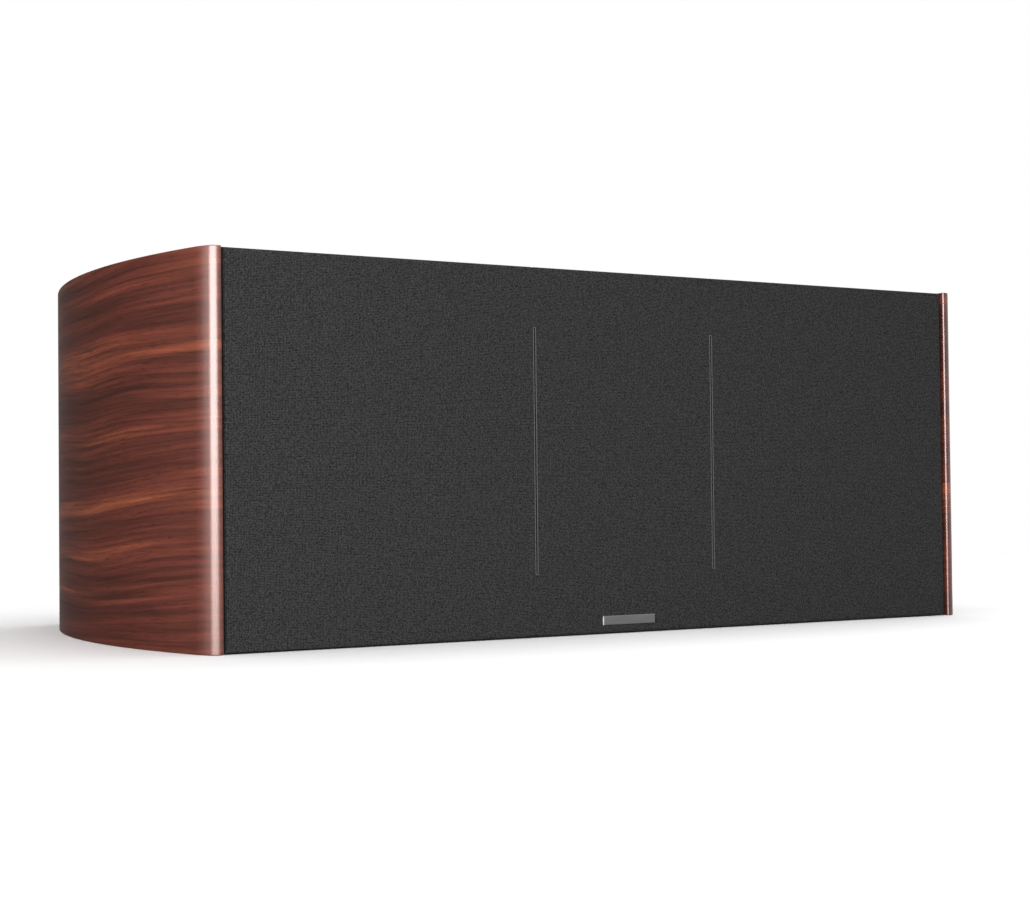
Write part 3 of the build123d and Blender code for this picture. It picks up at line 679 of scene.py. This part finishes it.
rubber = grained("surround_rubber", 700.0, 0.010, 0.020, (0.50, 0.66), 0.15)
crest = []
hollow = []
for step in range(roll_steps + 1):
    across = math.cos(math.pi * step / roll_steps)
    rise = roll_height * math.sin(math.pi * step / roll_steps)
    crest.append((roll_middle + roll_half * across, roll_foot - rise))
    hollow.insert(0, (roll_middle + (roll_half - roll_skin) * across, roll_foot + roll_skin - rise))
roll_profile = outer_front + crest + inner_foot + hollow + outer_back
for side, place in woofer_places.items():
    body = f"cone_{side}"
    surround = soft_ring(f"rubber_roll_{side}", place, roll_profile)
    smooth(surround, 50)
    finish_piece(surround, rubber, body, "surround", "woofer_surrounds")

# Cones: woven fibre pressed to a shallow curve, with a shallow cap of the same cloth, on a
# former that carries the voice coil.
cone_edge = 50.3
cone_front = 11.05
cone_back = 11.8
cone_skin = 0.75
cone_lean = 0.5
dish_edge = 49.2
dish_depth = 25.75
dish_curve = 0.88
dish_steps = 12
cap_edge = 15.8
cap_front = 32.5
cap_rise = 4.3
cap_skin = 0.9
cap_steps = 8
former_inner = 12.9
former_outer = 13.6
former_front = 36.9
former_back = 71.9
coil_inner = 13.55
coil_outer = 13.9
coil_front = 62.5
coil_back = 71.7
coil_ease = 0.3
wave_length = 0.314


def weave_value(tree, pitch, distortion):
    """Light and dark of a plain weave seen from the front, with its threads a pitch apart."""
    scale = wave_length / pitch
    weft = wave_bands(tree, "X", scale, distortion, Detail=1.0, Detail_Scale=1.5)
    warp = wave_bands(tree, "Z", scale, distortion, Detail=1.0, Detail_Scale=1.5)
    return put(tree, "ShaderNodeMath", {"operation": "MULTIPLY"}, _0=weft, _1=warp).outputs[0]


woven_fibre, tree, shader = new_material("woven_cone_fibre")
strands = weave_value(tree, 0.0024, 0.3)
vary(tree, shader, "Base Color", strands, (0.1, (0.012, 0.012, 0.013)), (0.8, (0.060, 0.061, 0.064)))
vary(tree, shader, "Roughness", strands, (0.1, 0.62), (0.8, 0.36))
keep(shader, Coat_Weight=0.25, Coat_Roughness=0.22)
bump(tree, shader, strands, 0.3, 0.0003)
foil_dark = (0.34, 0.20, 0.07)
foil_light = (0.46, 0.29, 0.11)
former_foil = grained("former_foil", 300.0, foil_dark, foil_light, (0.30, 0.42), 0.05, 0.3)
face = [(cone_edge, cone_back), (cone_edge, cone_front), (dish_edge, cone_front)]
back = [(cone_edge, cone_back)]
for step in range(1, dish_steps + 1):
    share = step / dish_steps
    radius = dish_edge - (dish_edge - cap_edge) * share
    depth = cone_front + dish_depth * share**dish_curve
    face.append((radius, depth))
    back.insert(0, (radius + cone_lean, depth + cone_skin))
for step in range(1, cap_steps + 1):
    share = 1 - step / cap_steps
    depth = cap_front + cap_rise * share**2
    face.append((cap_edge * share, depth))
    back.insert(0, (cap_edge * share, depth + cap_skin))
cone_profile = face + back
former_profile = [
    (former_inner, former_front),
    (former_outer, former_front),
    (former_outer, former_back),
    (former_inner, former_back),
    (former_inner, former_front),
]
coil_profile = [
    (coil_inner, coil_front),
    (coil_outer, coil_front + coil_ease),
    (coil_outer, coil_back - coil_ease),
    (coil_inner, coil_back),
    (coil_inner, coil_front),
]
for side, place in woofer_places.items():
    body = f"cone_{side}"
    node = f"woofer_cone_{side}"
    cone = lathe(f"fibre_cone_{side}", place, cone_profile)
    smooth(cone, 30)
    finish_piece(cone, woven_fibre, body, "cone", node)
    former = lathe(f"coil_former_{side}", place, former_profile, steps=72)
    smooth(former)
    finish_piece(former, former_foil, body, "cone", node)
    coil = lathe(f"voice_coil_{side}", place, coil_profile, steps=72)
    smooth(coil)
    finish_piece(coil, copper, body, "post_brass", node)

# Spiders: corrugated discs of impregnated cloth that centre the formers, glued to the trays.
# On the real unit the rim stays on the tray; here the whole disc travels with the cone.
spider_inner = 13.72
spider_width = 23.2
spider_depth = 55.4
spider_skin = 0.55
spider_steps = 48
wave_begin = 14.5
wave_end = 33.0
wave_fade = 1.5
wave_pitch = 3.7
wave_height = 0.8
spider_cloth, tree, shader = new_material("spider_cloth")
strands = weave_value(tree, 0.0012, 0.4)
vary(tree, shader, "Base Color", strands, (0.1, (0.15, 0.075, 0.020)), (0.8, (0.36, 0.21, 0.075)))
keep(shader, Roughness=0.82)
bump(tree, shader, strands, 0.4, 0.0003)
face = []
back = []
for step in range(spider_steps + 1):
    radius = spider_inner + spider_width * step / spider_steps
    swell = max(0.0, min(1.0, (radius - wave_begin) / wave_fade, (wave_end - radius) / wave_fade))
    depth = spider_depth + wave_height * swell * math.sin(math.tau * (radius - wave_begin) / wave_pitch)
    face.append((radius, depth))
    back.insert(0, (radius, depth + spider_skin))
spider_profile = face + back + face[:1]
for side, place in woofer_places.items():
    body = f"cone_{side}"
    spider = soft_ring(
        f"corrugated_spider_{side}", place, spider_profile
    )
    smooth(spider, 60)
    finish_piece(spider, spider_cloth, body, "spider", "woofer_spiders")

# Motors: turned steel pots with a bright zinc finish, slug magnets with a nickel plate and pole
# plates of bare steel, for the two bass units and the dome. Screwed or glued behind each unit.
slug_step = 0.9
pot_ease = 0.0006
slug_ease = 0.0003
plate_ease = 0.0004
zinc = grained("bright_zinc", 130.0, (0.42, 0.42, 0.40), (0.58, 0.58, 0.56), (0.28, 0.42), 0.05, 0.9)
nickel = grained("nickel_plate", 160.0, (0.52, 0.50, 0.46), (0.64, 0.62, 0.58), (0.20, 0.32), 0.04, 1.0)
steel_dark = (0.30, 0.30, 0.31)
steel_light = (0.44, 0.44, 0.45)
bare_steel = grained("bare_steel", 240.0, steel_dark, steel_light, (0.30, 0.46), 0.06, 1.0)


def disc(radius, near, far):
    """Profile of a plain disc."""
    return [(0, near), (radius, near), (radius, far), (0, far)]


def motor(name, place, near, pot_radius, pot_bore, plate_radius, plate_thick, slug_thick, base):
    """A pot with its slug magnet and its pole plate, from the depth of the pot's rim."""
    step_depth = near + plate_thick
    floor_depth = step_depth + slug_thick
    far = floor_depth + base
    pot_profile = [
        (pot_bore, near),
        (pot_radius, near),
        (pot_radius, far),
        (0, far),
        (0, floor_depth),
        (pot_bore, floor_depth),
        (pot_bore, near),
    ]
    pot = lathe(f"motor_pot_{name}", place, pot_profile)
    soften(pot, pot_ease)
    finish_piece(pot, zinc, "cabinet", "steel", "motor_pots")
    slug = lathe(f"slug_magnet_{name}", place, disc(plate_radius - slug_step, step_depth, floor_depth))
    soften(slug, slug_ease)
    finish_piece(slug, nickel, "cabinet", "magnet", "motor_magnets")
    plate = lathe(f"pole_plate_{name}", place, disc(plate_radius, near, step_depth))
    soften(plate, plate_ease)
    finish_piece(plate, bare_steel, "cabinet", "pole_steel", "motor_pole_plates")


for side, place in woofer_places.items():
    motor(
        side,
        place,
        near=tray_back,
        pot_radius=28.0,
        pot_bore=14.1,
        plate_radius=12.4,
        plate_thick=7.0,
        slug_thick=12.0,
        base=7.0,
    )
dome_low, dome_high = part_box("midrange_dome")
dome_place = (0.0, (dome_low.z + dome_high.z) / 2)
motor(
    "dome",
    dome_place,
    near=11.65,
    pot_radius=32.2,
    pot_bore=25.7,
    plate_radius=24.0,
    plate_thick=4.0,
    slug_thick=8.0,
    base=4.95,
)

# Centre plate: moulded black front for dome and tweeter, with rounded corners, a flared guide
# round the dome and a window for the tweeter. Four screws hold it to the baffle.
plate_thickness = 0.004
plate_corner = 0.004
plate_screw_inset = 0.006
window_margin = 0.0006
collar_profile = disc(33.0, 7.5, 11.0)
flare_profile = [
    (0, 3.0),
    (32.6, 3.0),
    (31.6, 4.0),
    (29.0, 5.4),
    (27.2, 7.2),
    (26.0, 9.2),
    (25.35, 11.5),
    (0, 11.5),
]


def round_corners(piece, radius, segments):
    """Rounds the edges of a box that run from front to back."""
    edit(piece)
    pick(piece, "EDGE", lambda edge: abs(edge.verts[0].co.y - edge.verts[1].co.y) > 0.0005)
    bpy.ops.mesh.bevel(offset=radius, segments=segments, affect="EDGES")
    bpy.ops.object.mode_set(mode="OBJECT")


def cut_away(piece, corner_low, corner_high):
    """Cuts a box out of a piece."""
    low_end, high_end = Vector(corner_low), Vector(corner_high)
    combine(piece, block("cutter", (low_end + high_end) / 2, high_end - low_end))


moulded_black = grained("moulded_black_plastic", 1600.0, 0.010, 0.018, (0.46, 0.60), 0.12)
plate_low, plate_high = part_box("centre_plate")
foil_low, foil_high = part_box("tweeter_pleats")
plate_front = plate_low.y
centre_front = block(
    "centre_front",
    (0, plate_front + plate_thickness / 2, (plate_low.z + plate_high.z) / 2),
    (plate_high.x - plate_low.x, plate_thickness, plate_high.z - plate_low.z),
)
round_corners(centre_front, plate_corner, 8)
combine(centre_front, lathe("guide_collar", dome_place, collar_profile, steps=128), "UNION")
combine(centre_front, lathe("guide_flare", dome_place, flare_profile, steps=128))
drill_near = plate_front - drill_length / 2
drill_far = plate_front + drill_length / 2
cut_away(
    centre_front,
    (foil_low.x - window_margin, drill_near, foil_low.z - window_margin),
    (foil_high.x + window_margin, drill_far, foil_high.z + window_margin),
)
for sign in sides.values():
    screw_x = sign * (plate_high.x - plate_screw_inset)
    for screw_z in (plate_low.z + plate_screw_inset, plate_high.z - plate_screw_inset):
        bore(centre_front, screw_x, screw_z, screw_hole, drill_near, drill_far)
        screw_places.append((screw_x, plate_front, screw_z))
soften(centre_front)
finish_piece(centre_front, moulded_black, "cabinet", "plate_plastic", "centre_plate")

# Dome: silk cap with a soft coating and a small roll round it, formed in one piece with its rim.
# The rim is glued to the pot behind the guide.
dome_skin = 0.5
dome_radius = 22.8
dome_front = 4.65
dome_rise = 6.1
dome_steps = 12
rim_radius = 31.0
rim_inner = 25.3
rim_front = 11.05
rim_back = 11.6
dome_roll_middle = 24.0
dome_roll_half = 1.2
dome_roll_foot = 10.8
dome_roll_height = 1.1
dome_roll_steps = 8
silk, tree, shader = new_material("coated_silk")
strands = weave_value(tree, 0.0007, 0.4)
vary(tree, shader, "Base Color", strands, (0.1, (0.010, 0.010, 0.011)), (0.8, (0.034, 0.034, 0.036)))
vary(tree, shader, "Roughness", strands, (0.1, 0.46), (0.8, 0.34))
keep(shader, Sheen_Weight=0.25)
bump(tree, shader, strands, 0.2, 0.0002)
face = [(rim_radius, rim_back), (rim_radius, rim_front), (rim_inner, rim_front)]
back = [(rim_inner, rim_back), (rim_radius, rim_back)]
for step in range(1, dome_roll_steps + 1):
    angle = math.pi * step / dome_roll_steps
    radius = dome_roll_middle + dome_roll_half * math.cos(angle)
    depth = dome_roll_foot - dome_roll_height * math.sin(angle)
    face.append((radius, depth))
    back.insert(0, (radius, depth + dome_skin))
for step in range(1, dome_steps + 1):
    share = 1 - step / dome_steps
    depth = dome_front + dome_rise * share**2
    face.append((dome_radius * share, depth))
    back.insert(0, (dome_radius * share, depth + dome_skin))
dome = lathe("silk_dome", dome_place, face + back)
smooth(dome, 50)
finish_piece(dome, silk, "cabinet", "dome", "midrange_dome")

# Chamber behind the dome: a closed box moulded in black plastic. It is glued to the back of the
# baffle and keeps the bass units' air away from the dome.
dress(moulded_black, "midrange_chamber")

# Tweeter: a foil folded to narrow pleats, with printed conductors, hangs behind four bars of a
# steel pole frame, between two bar magnets. A moulded cup closes it behind.
fold_count = 12
fold_round = 0.0005
fold_slack = 0.0012
foil_gap = 0.0005
foil_thickness = 0.0002


def middle_of(edge):
    """The middle of an edge."""
    return (edge.verts[0].co + edge.verts[1].co) / 2


dress(bare_steel, "tweeter_frame")
dress(nickel, "tweeter_magnets")
dress(moulded_black, "tweeter_cup")
foil, tree, shader = new_material("pleated_foil")
stripes = wave_bands(tree, "Z", 62.0, 0.0)
conductor = ramp(tree, stripes, (0.30, 0.0), (0.36, 1.0))
film_brown = (0.36, 0.17, 0.035, 1)
conductor_grey = (0.62, 0.61, 0.58, 1)
foil_colour = blend_colours(tree, "MIX", conductor, film_brown, conductor_grey)
tree.links.new(foil_colour, shader.inputs["Base Color"])
vary(tree, shader, "Roughness", stripes, (0.2, 0.34), (0.5, 0.26))
tree.links.new(conductor, shader.inputs["Metallic"])
fold_pitch = (foil_high.x - foil_low.x) / fold_count
fold_depth = foil_high.y - foil_low.y - fold_slack
fold_x = foil_low.x + fold_pitch / 2
pleat = start_piece(
    "pleated_foil",
    bpy.ops.mesh.primitive_plane_add,
    scale=(fold_pitch / 2, foil_high.z - foil_low.z, 1),
    size=1,
    location=(foil_low.x + fold_pitch / 4, foil_low.y + foil_gap, (foil_low.z + foil_high.z) / 2),
    rotation=(math.pi / 2, 0, 0),
)
edit(pleat)
pick(pleat, "EDGE", lambda edge: middle_of(edge).x > fold_x - 1e-6)
bpy.ops.transform.translate(value=(0, fold_depth, 0))
bpy.ops.mesh.extrude_region_move(TRANSFORM_OT_translate={"value": (fold_pitch / 2, -fold_depth, 0)})
pick(pleat, "EDGE", lambda edge: all(abs(vertex.co.x - fold_x) < 1e-6 for vertex in edge.verts))
bpy.ops.mesh.bevel(offset=fold_round, segments=4, affect="EDGES")
bpy.ops.object.mode_set(mode="OBJECT")
apply_modifier(
    pleat,
    "ARRAY",
    count=fold_count,
    use_relative_offset=False,
    use_constant_offset=True,
    constant_offset_displace=(fold_pitch, 0, 0),
    use_merge_vertices=True,
    merge_threshold=1e-5,
)
apply_modifier(pleat, "SOLIDIFY", thickness=foil_thickness, offset=0)
smooth(pleat, 60)
finish_piece(pleat, foil, "cabinet", "foil", "tweeter_pleats")

# Driver screws: black countersunk screws with hexagon sockets, four in each flange and four in
# the centre plate, turned into the baffle.
screw_profile = [(0, 0.3), (2.4, 0.3), (2.6, 0.6), (1.6, 3.0), (1.6, 14.4), (0, 15.0)]
socket_radius = 0.0013
socket_depth = 0.002
black_zinc = grained("black_zinc", 500.0, 0.018, 0.035, (0.32, 0.46), 0.08, 0.8)
pattern = lathe("screw", (0, 0), screw_profile, steps=24)
combine(pattern, rod("socket", (0, front, 0), socket_radius, 2 * socket_depth, 6))
screws = []
for x, y, z in screw_places:
    screws.append(copy_piece(pattern, f"screw_{len(screws)}", (x, y - front, z)))
bpy.data.objects.remove(pattern)
driver_screws = join(screws, "socket_screws")
smooth(driver_screws, 30)
finish_piece(driver_screws, black_zinc, "cabinet", "screw", "driver_screws")

# Keepers: strips of zinc-plated steel that the grille's magnets hold on to. Each is let into a
# pocket in the front of the baffle.
dress(zinc, "grille_keepers")

# Grille frame and magnets: a frame of four bars and two mullions, moulded in black plastic, with
# four nickel-plated block magnets pressed in from behind.
dress(moulded_black, "grille_frame")
dress(nickel, "grille_magnets")

# Grille cloth: one sheet of dark grey acoustic weave, stretched over the frame and turned round
# its edges, with openings for the two slits and a small nick above and below each.
cloth_low, cloth_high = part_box("grille_cloth")
cloth_size = cloth_high - cloth_low
cloth_radius = 0.0020
notch_half = 0.0008
notch_depth = 0.0011
cut_reach = 0.01
slit_low, slit_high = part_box("slit_rims")
rim_half = 0.00145
rim_lip = 0.0009
slit_middle = slit_high.x - rim_half
slit_half = 0.00085
slot_half = 0.00055
slot_low = slit_low.z + rim_lip
slot_high = slit_high.z - rim_lip


def rounded_bar(name, x, half, reach):
    """A bar with round ends that goes through the grille from front to back at one slit."""
    lip = half - slot_half
    bar = block(
        name,
        (x, (slit_low.y + slit_high.y) / 2, (slot_low + slot_high) / 2),
        (2 * half, slit_high.y - slit_low.y + 2 * reach, slot_high - slot_low + 2 * lip),
    )
    round_corners(bar, 0.96 * half, 6)
    return bar


acoustic_weave, tree, shader = new_material("acoustic_weave")
fuzz = noise(tree, object_place(tree), scale=1150.0, detail=2.0, roughness=0.7)
weave = weave_value(tree, 0.0008, 1.5)
threads = put(
    tree, "ShaderNodeMath", {"operation": "MULTIPLY_ADD"}, _0=weave, _1=0.3, _2=fuzz
).outputs[0]
thread_dark = (0.0012, 0.0012, 0.0013)
thread_light = (0.0190, 0.0190, 0.0192)
vary(tree, shader, "Base Color", threads, (0.40, thread_dark), (0.76, thread_light))
keep(shader, Roughness=0.85, Specular_IOR_Level=0.08)
bump(tree, shader, threads, 0.4, 0.0003)

cloth = block("grille_weave", (cloth_low + cloth_high) / 2, cloth_size)
edit(cloth)
pick(cloth, "FACE", lambda face: face.normal.y > 0.9)
bpy.ops.mesh.delete(type="FACE")
pick(cloth, "EDGE", lambda edge: abs(middle_of(edge).y - cloth_low.y) < 1e-6)
bpy.ops.mesh.bevel(offset=cloth_radius, segments=6, affect="EDGES")
bpy.ops.object.mode_set(mode="OBJECT")
apply_modifier(cloth, "SOLIDIFY", thickness=cloth_thickness, offset=-1)
for sign in sides.values():
    slit_x = sign * slit_middle
    combine(cloth, rounded_bar("opening", slit_x, slit_half, cut_reach))
    for edge_z, step in ((cloth_low.z, 1), (cloth_high.z, -1)):
        notch = sorted((edge_z - step * cut_reach, edge_z + step * notch_depth))
        cut_away(
            cloth,
            (slit_x - notch_half, cloth_low.y - cut_reach, notch[0]),
            (slit_x + notch_half, cloth_high.y + cut_reach, notch[1]),
        )
smooth(cloth, 40)
finish_piece(cloth, acoustic_weave, "grille", "grille_cloth", "grille_cloth")

# Slit rims: two long eyelets of black plastic, pressed through cloth and frame, with a thin grey
# lip at the front that is a painted highlight. The slots between their lips are open to the back.
rim_painted_glint, tree, shader = new_material("black_rim_painted_glint")
# Colour by depth: grey in the front lip as a painted highlight, the black of the plastic behind it.
behind_front = object_place(tree, (1000, 1000, 1000), location=(0, -1000 * slit_low.y, 0))
behind_lip = put(tree, "ShaderNodeSeparateXYZ", Vector=behind_front).outputs["Y"]
vary(tree, shader, "Base Color", behind_lip, (0.20, 0.040), (0.40, 0.0015))
vary(tree, shader, "Roughness", behind_lip, (0.20, 0.42), (0.40, 0.80))
for side, sign in sides.items():
    eyelet = rounded_bar(f"slit_eyelet_{side}", sign * slit_middle, slit_half, 0)
    combine(eyelet, rounded_bar("slot", sign * slit_middle, slot_half, cut_reach))
    smooth(eyelet)
    finish_piece(eyelet, rim_painted_glint, "grille", "slit_rim", "slit_rims")

# Blank plate near the bottom edge: brushed aluminium with a dark anodised finish and bevelled
# edges, glued on the cloth.
brush_lines = (60.0, 60.0, 9000.0)
brushed = grained("brushed_aluminium", 1.0, 0.072, 0.125, (0.34, 0.46), 0.05, 0.7, brush_lines)
dress(brushed, "badge_plate")

# Terminal cup: a moulded black dish with a flange, let into the rear panel and held by four
# screws. The studs go through its floor.
cup_low, cup_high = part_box("terminal_cup")
cup_z = (cup_low.z + cup_high.z) / 2
cup_hollow = (0.084, 0.060)
cup_floor = front + 0.273
cup_corner = 0.005
cup_ease = 0.0006
stud_x = 0.016
stud_hole = 0.0031
stud_drill = (front + 0.260, front + 0.280)
moulding_corner = 0.007
moulding_wall = 0.003
moulding_overlap = 0.001
hollow_reach = 0.2
head_inset = 0.0042
head_hole = 0.0024
head_drill = (rear_face + 0.001, rear_face + 0.010)
rear_screws = []


def rear_moulding(name, box_low, box_high, hollow, floor, corner):
    """A flange on the rear panel with a body in front of it and a hollow with rounded corners."""
    centre_z = (box_low.z + box_high.z) / 2
    flange = block(
        name,
        (0, (box_high.y + rear_face) / 2, centre_z),
        (box_high.x - box_low.x, box_high.y - rear_face, box_high.z - box_low.z),
    )
    round_corners(flange, moulding_corner, 8)
    body_back = rear_face + moulding_overlap
    body = block(
        "body",
        (0, (box_low.y + body_back) / 2, centre_z),
        (hollow[0] + 2 * moulding_wall, body_back - box_low.y, hollow[1] + 2 * moulding_wall),
    )
    combine(flange, body, "UNION")
    room = block("room", (0, floor + hollow_reach / 2, centre_z), (hollow[0], hollow_reach, hollow[1]))
    round_corners(room, corner, 6)
    combine(flange, room)
    return flange


def sink_screws(piece, box_low, box_high, sign):
    """Drills the two corners on one side of a flange for screw heads and keeps their places."""
    head_x = sign * (box_high.x - head_inset)
    for head_z in (box_low.z + head_inset, box_high.z - head_inset):
        bore(piece, head_x, head_z, head_hole, *head_drill)
        rear_screws.append((head_x, head_z))


terminal_dish = rear_moulding("terminal_dish", cup_low, cup_high, cup_hollow, cup_floor, cup_corner)
for sign in sides.values():
    bore(terminal_dish, sign * stud_x, cup_z, stud_hole, *stud_drill)
    sink_screws(terminal_dish, cup_low, cup_high, sign)
soften(terminal_dish, cup_ease)
finish_piece(terminal_dish, moulded_black, "cabinet", "rear_plastic", "terminal_cup")

# Slot port: a moulded duct with a rounded mouth, let into the rear panel under the terminals
# and held by four screws.
port_low, port_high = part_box("port_duct")
port_z = (port_low.z + port_high.z) / 2
port_hollow = (0.104, 0.020)
port_begin = front + 0.190
port_corner = 0.007
port_ease = 0.0005
mouth_round = 0.004
mouth_margin = 0.0005


def at_mouth(vertex):
    """Whether a vertex lies on the rim of the port's mouth."""
    return (
        vertex.co.y > port_high.y - 1e-5
        and abs(vertex.co.x) < port_hollow[0] / 2 + mouth_margin
        and abs(vertex.co.z - port_z) < port_hollow[1] / 2 + mouth_margin
    )


slot_port = rear_moulding("slot_port", port_low, port_high, port_hollow, port_begin, port_corner)
edit(slot_port)
pick(slot_port, "EDGE", lambda edge: all(at_mouth(vertex) for vertex in edge.verts))
bpy.ops.mesh.bevel(offset=mouth_round, segments=6, affect="EDGES")
bpy.ops.object.mode_set(mode="OBJECT")
for sign in sides.values():
    sink_screws(slot_port, port_low, port_high, sign)
soften(slot_port, port_ease)
finish_piece(slot_port, moulded_black, "cabinet", "rear_plastic", "port_duct")

# Rear screws: small pan heads of black steel with cross slots, sunk in the two flanges. They hold
# the terminal cup and the port to the rear panel.
head_profile = [(0, 302.8), (0.9, 302.75), (1.7, 302.5), (2.15, 302.0), (2.15, 300.9), (0, 300.9)]
cross_half_length = 0.0012
cross_half_width = 0.0003
cross_floor = rear_face + 0.0022
pattern = lathe("rear_screw", (0, 0), head_profile, steps=24)
for x, z in ((cross_half_length, cross_half_width), (cross_half_width, cross_half_length)):
    cut_away(pattern, (-x, cross_floor, -z), (x, rear_face + cut_reach, z))
heads = []
for x, z in rear_screws:
    heads.append(copy_piece(pattern, f"rear_screw_{len(heads)}", (x, 0, z)))
bpy.data.objects.remove(pattern)
rear_heads = join(heads, "rear_screw_heads")
smooth(rear_heads, 30)
finish_piece(rear_heads, black_zinc, "cabinet", "screw")

# Terminal studs: turned brass with a gold finish, drilled for a plug, with a hexagon collar on the
# floor of the cup.
brass = grained("gilded_brass", 220.0, (0.60, 0.40, 0.13), (0.74, 0.52, 0.19), (0.18, 0.30), 0.04, 1.0)
dress(brass, "terminal_studs")

# Clamping knobs: fluted caps of glossy plastic, one red and one black, with a bore for the stud.
# They screw down the studs and clamp a wire on the collar.
knob_radius = 0.0075
knob_bore = 0.00306
knob_ease = 0.0009
flute_count = 10
flute_sides = 4
flute_depths = {2: 0.86, 1: 0.95, 3: 0.95}
side_turn = math.tau / (flute_count * flute_sides)


def fluted_knob(name):
    """A cap with flutes, eased rims and a bore for the stud."""
    knob_low, knob_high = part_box(f"terminal_knob_{name}")
    axis = (knob_low + knob_high) / 2
    length = knob_high.y - knob_low.y
    cap = rod(f"fluted_knob_{name}", axis, knob_radius, length, flute_count * flute_sides)

    def place_in_flute(vertex):
        """Number of a vertex within its flute."""
        turn =math.atan2(vertex.co.z - axis.z, vertex.co.x - axis.x)
        return round(turn / side_turn) % flute_sides

    edit(cap)
    for number, inward in flute_depths.items():
        pick(cap, "VERT", lambda vertex: place_in_flute(vertex) == number)
        bpy.ops.transform.resize(value=(inward, 1, inward), center_override=axis)
    bpy.ops.object.mode_set(mode="OBJECT")
    bore(cap, axis.x, axis.z, knob_bore, knob_low.y - cut_reach, knob_high.y + cut_reach)
    soften(cap, knob_ease)
    return cap


knob_red = grained("red_knob", 500.0, (0.42, 0.012, 0.012), (0.52, 0.020, 0.018), (0.28, 0.38), 0.04)
knob_black = grained("black_knob", 500.0, 0.010, 0.017, (0.28, 0.38), 0.04)
for name, material, slot in (("positive", knob_red, "knob_red"), ("negative", knob_black, "knob_black")):
    knob = fluted_knob(name)
    finish_piece(knob, material, f"knob_{name}", slot, f"terminal_knob_{name}")

# Floor and room: a plain white board that the speaker stands on, in a white room that is dim on
# the left and bright on the right. The board is kept out of reflections.
floor_size = (2.6, 2.0, 1)
floor_middle = (0.1, -0.3, 0)
floor = start_piece(
    "floor", bpy.ops.mesh.primitive_plane_add, scale=floor_size, size=1, location=floor_middle
)
white_floor, tree, shader = new_material("white_floor")
keep(shader, Base_Color=(0.93, 0.93, 0.93, 1), Roughness=0.9)
floor.data.materials.append(white_floor)
floor.visible_glossy = False

world = bpy.data.worlds.new("white_room")
bpy.context.scene.world = world
world.use_nodes = True
tree = world.node_tree
direction = put(tree, "ShaderNodeTexCoord").outputs["Generated"]
parts = put(tree, "ShaderNodeSeparateXYZ", Vector=direction)
sideways = put(tree, "ShaderNodeMapRange", Value=parts.outputs["X"], From_Min=-0.4, From_Max=0.9)
walls = ramp(tree, sideways.outputs["Result"], (0.0, 0.02), (0.3, 0.06), (0.6, 0.35), (1.0, 0.8))
ceiling = ramp(tree, parts.outputs["Z"], (0.42, 0.0), (0.80, 1.0))
room_light = blend_colours(tree, "ADD", 1.0, walls, ceiling)
seen_directly = put(tree, "ShaderNodeLightPath").outputs["Is Camera Ray"]
room_colour = blend_colours(tree, "MIX", seen_directly, room_light, (1, 1, 1, 1))
tree.links.new(room_colour, tree.nodes["Background"].inputs["Color"])

# Lamps: four soft boxes. Two on the left draw the highlight down the front edge and are flagged
# off the floor, one fills the front and a large one hangs overhead.
shaded_floor = bpy.data.collections.new("shaded_floor")
shaded_floor.objects.link(floor)
shaded_floor.collection_objects[0].light_linking.link_state = "EXCLUDE"


def softbox(name, place, target, width, tall, power, flagged=False):
    """A rectangular lamp that faces a point. A flagged one does not reach the floor."""
    lamp = bpy.data.lights.new(name, "AREA")
    lamp.shape = "RECTANGLE"
    lamp.size = width
    lamp.size_y = tall
    lamp.energy = power
    holder = bpy.data.objects.new(name, lamp)
    bpy.context.scene.collection.objects.link(holder)
    holder.location = place
    holder.rotation_mode = "QUATERNION"
    holder.rotation_quaternion = (Vector(target) - Vector(place)).to_track_quat("-Z", "Y")
    if flagged:
        holder.light_linking.receiver_collection = shaded_floor


softbox("left_strip", (-1.51, -1.83, 0.37), (-0.24, -0.15, 0.15), 2.6, 0.74, 185, True)
softbox("left_glow", (-2.35, -0.45, 0.36), (-0.24, -0.15, 0.12), 1.6, 0.8, 18, True)
softbox("front_fill", (0.3, -2.3, 1.3), (0.0, -0.1, 0.1), 1.6, 1.2, 14)
softbox("top_softbox", (0.1, -0.2, 2.3), (0.1, -0.2, 0), 2.6, 2.4, 24)

# Camera: stands where the photograph was taken from, to the left of the speaker at about a third
# of its height, and looks along the front.
picture_width = 1030
focal_pixels = 1913.673
sensor_width = 36
yaw = math.radians(31.779)
pitch = math.radians(1.411)
roll = math.radians(-0.614)
camera_place = (-0.610344, front - 0.866861, 0.073436)
ahead = Vector((math.sin(yaw) * math.cos(pitch), math.cos(yaw) * math.cos(pitch), math.sin(pitch)))
right = Vector((math.cos(yaw), -math.sin(yaw), 0))
up = right.cross(ahead)
turned_right = math.cos(roll) * right + math.sin(roll) * up
turned_up = math.cos(roll) * up - math.sin(roll) * right
facing = Matrix((turned_right, turned_up, -ahead)).transposed().to_4x4()
lens = bpy.data.cameras.new("camera")
lens.sensor_width = sensor_width
lens.lens = sensor_width * focal_pixels / picture_width
camera = bpy.data.objects.new("camera", lens)
bpy.context.scene.collection.objects.link(camera)
camera.matrix_world = Matrix.Translation(camera_place) @ facing
bpy.context.scene.camera = camera
bpy.context.scene.view_settings.view_transform = "Standard"
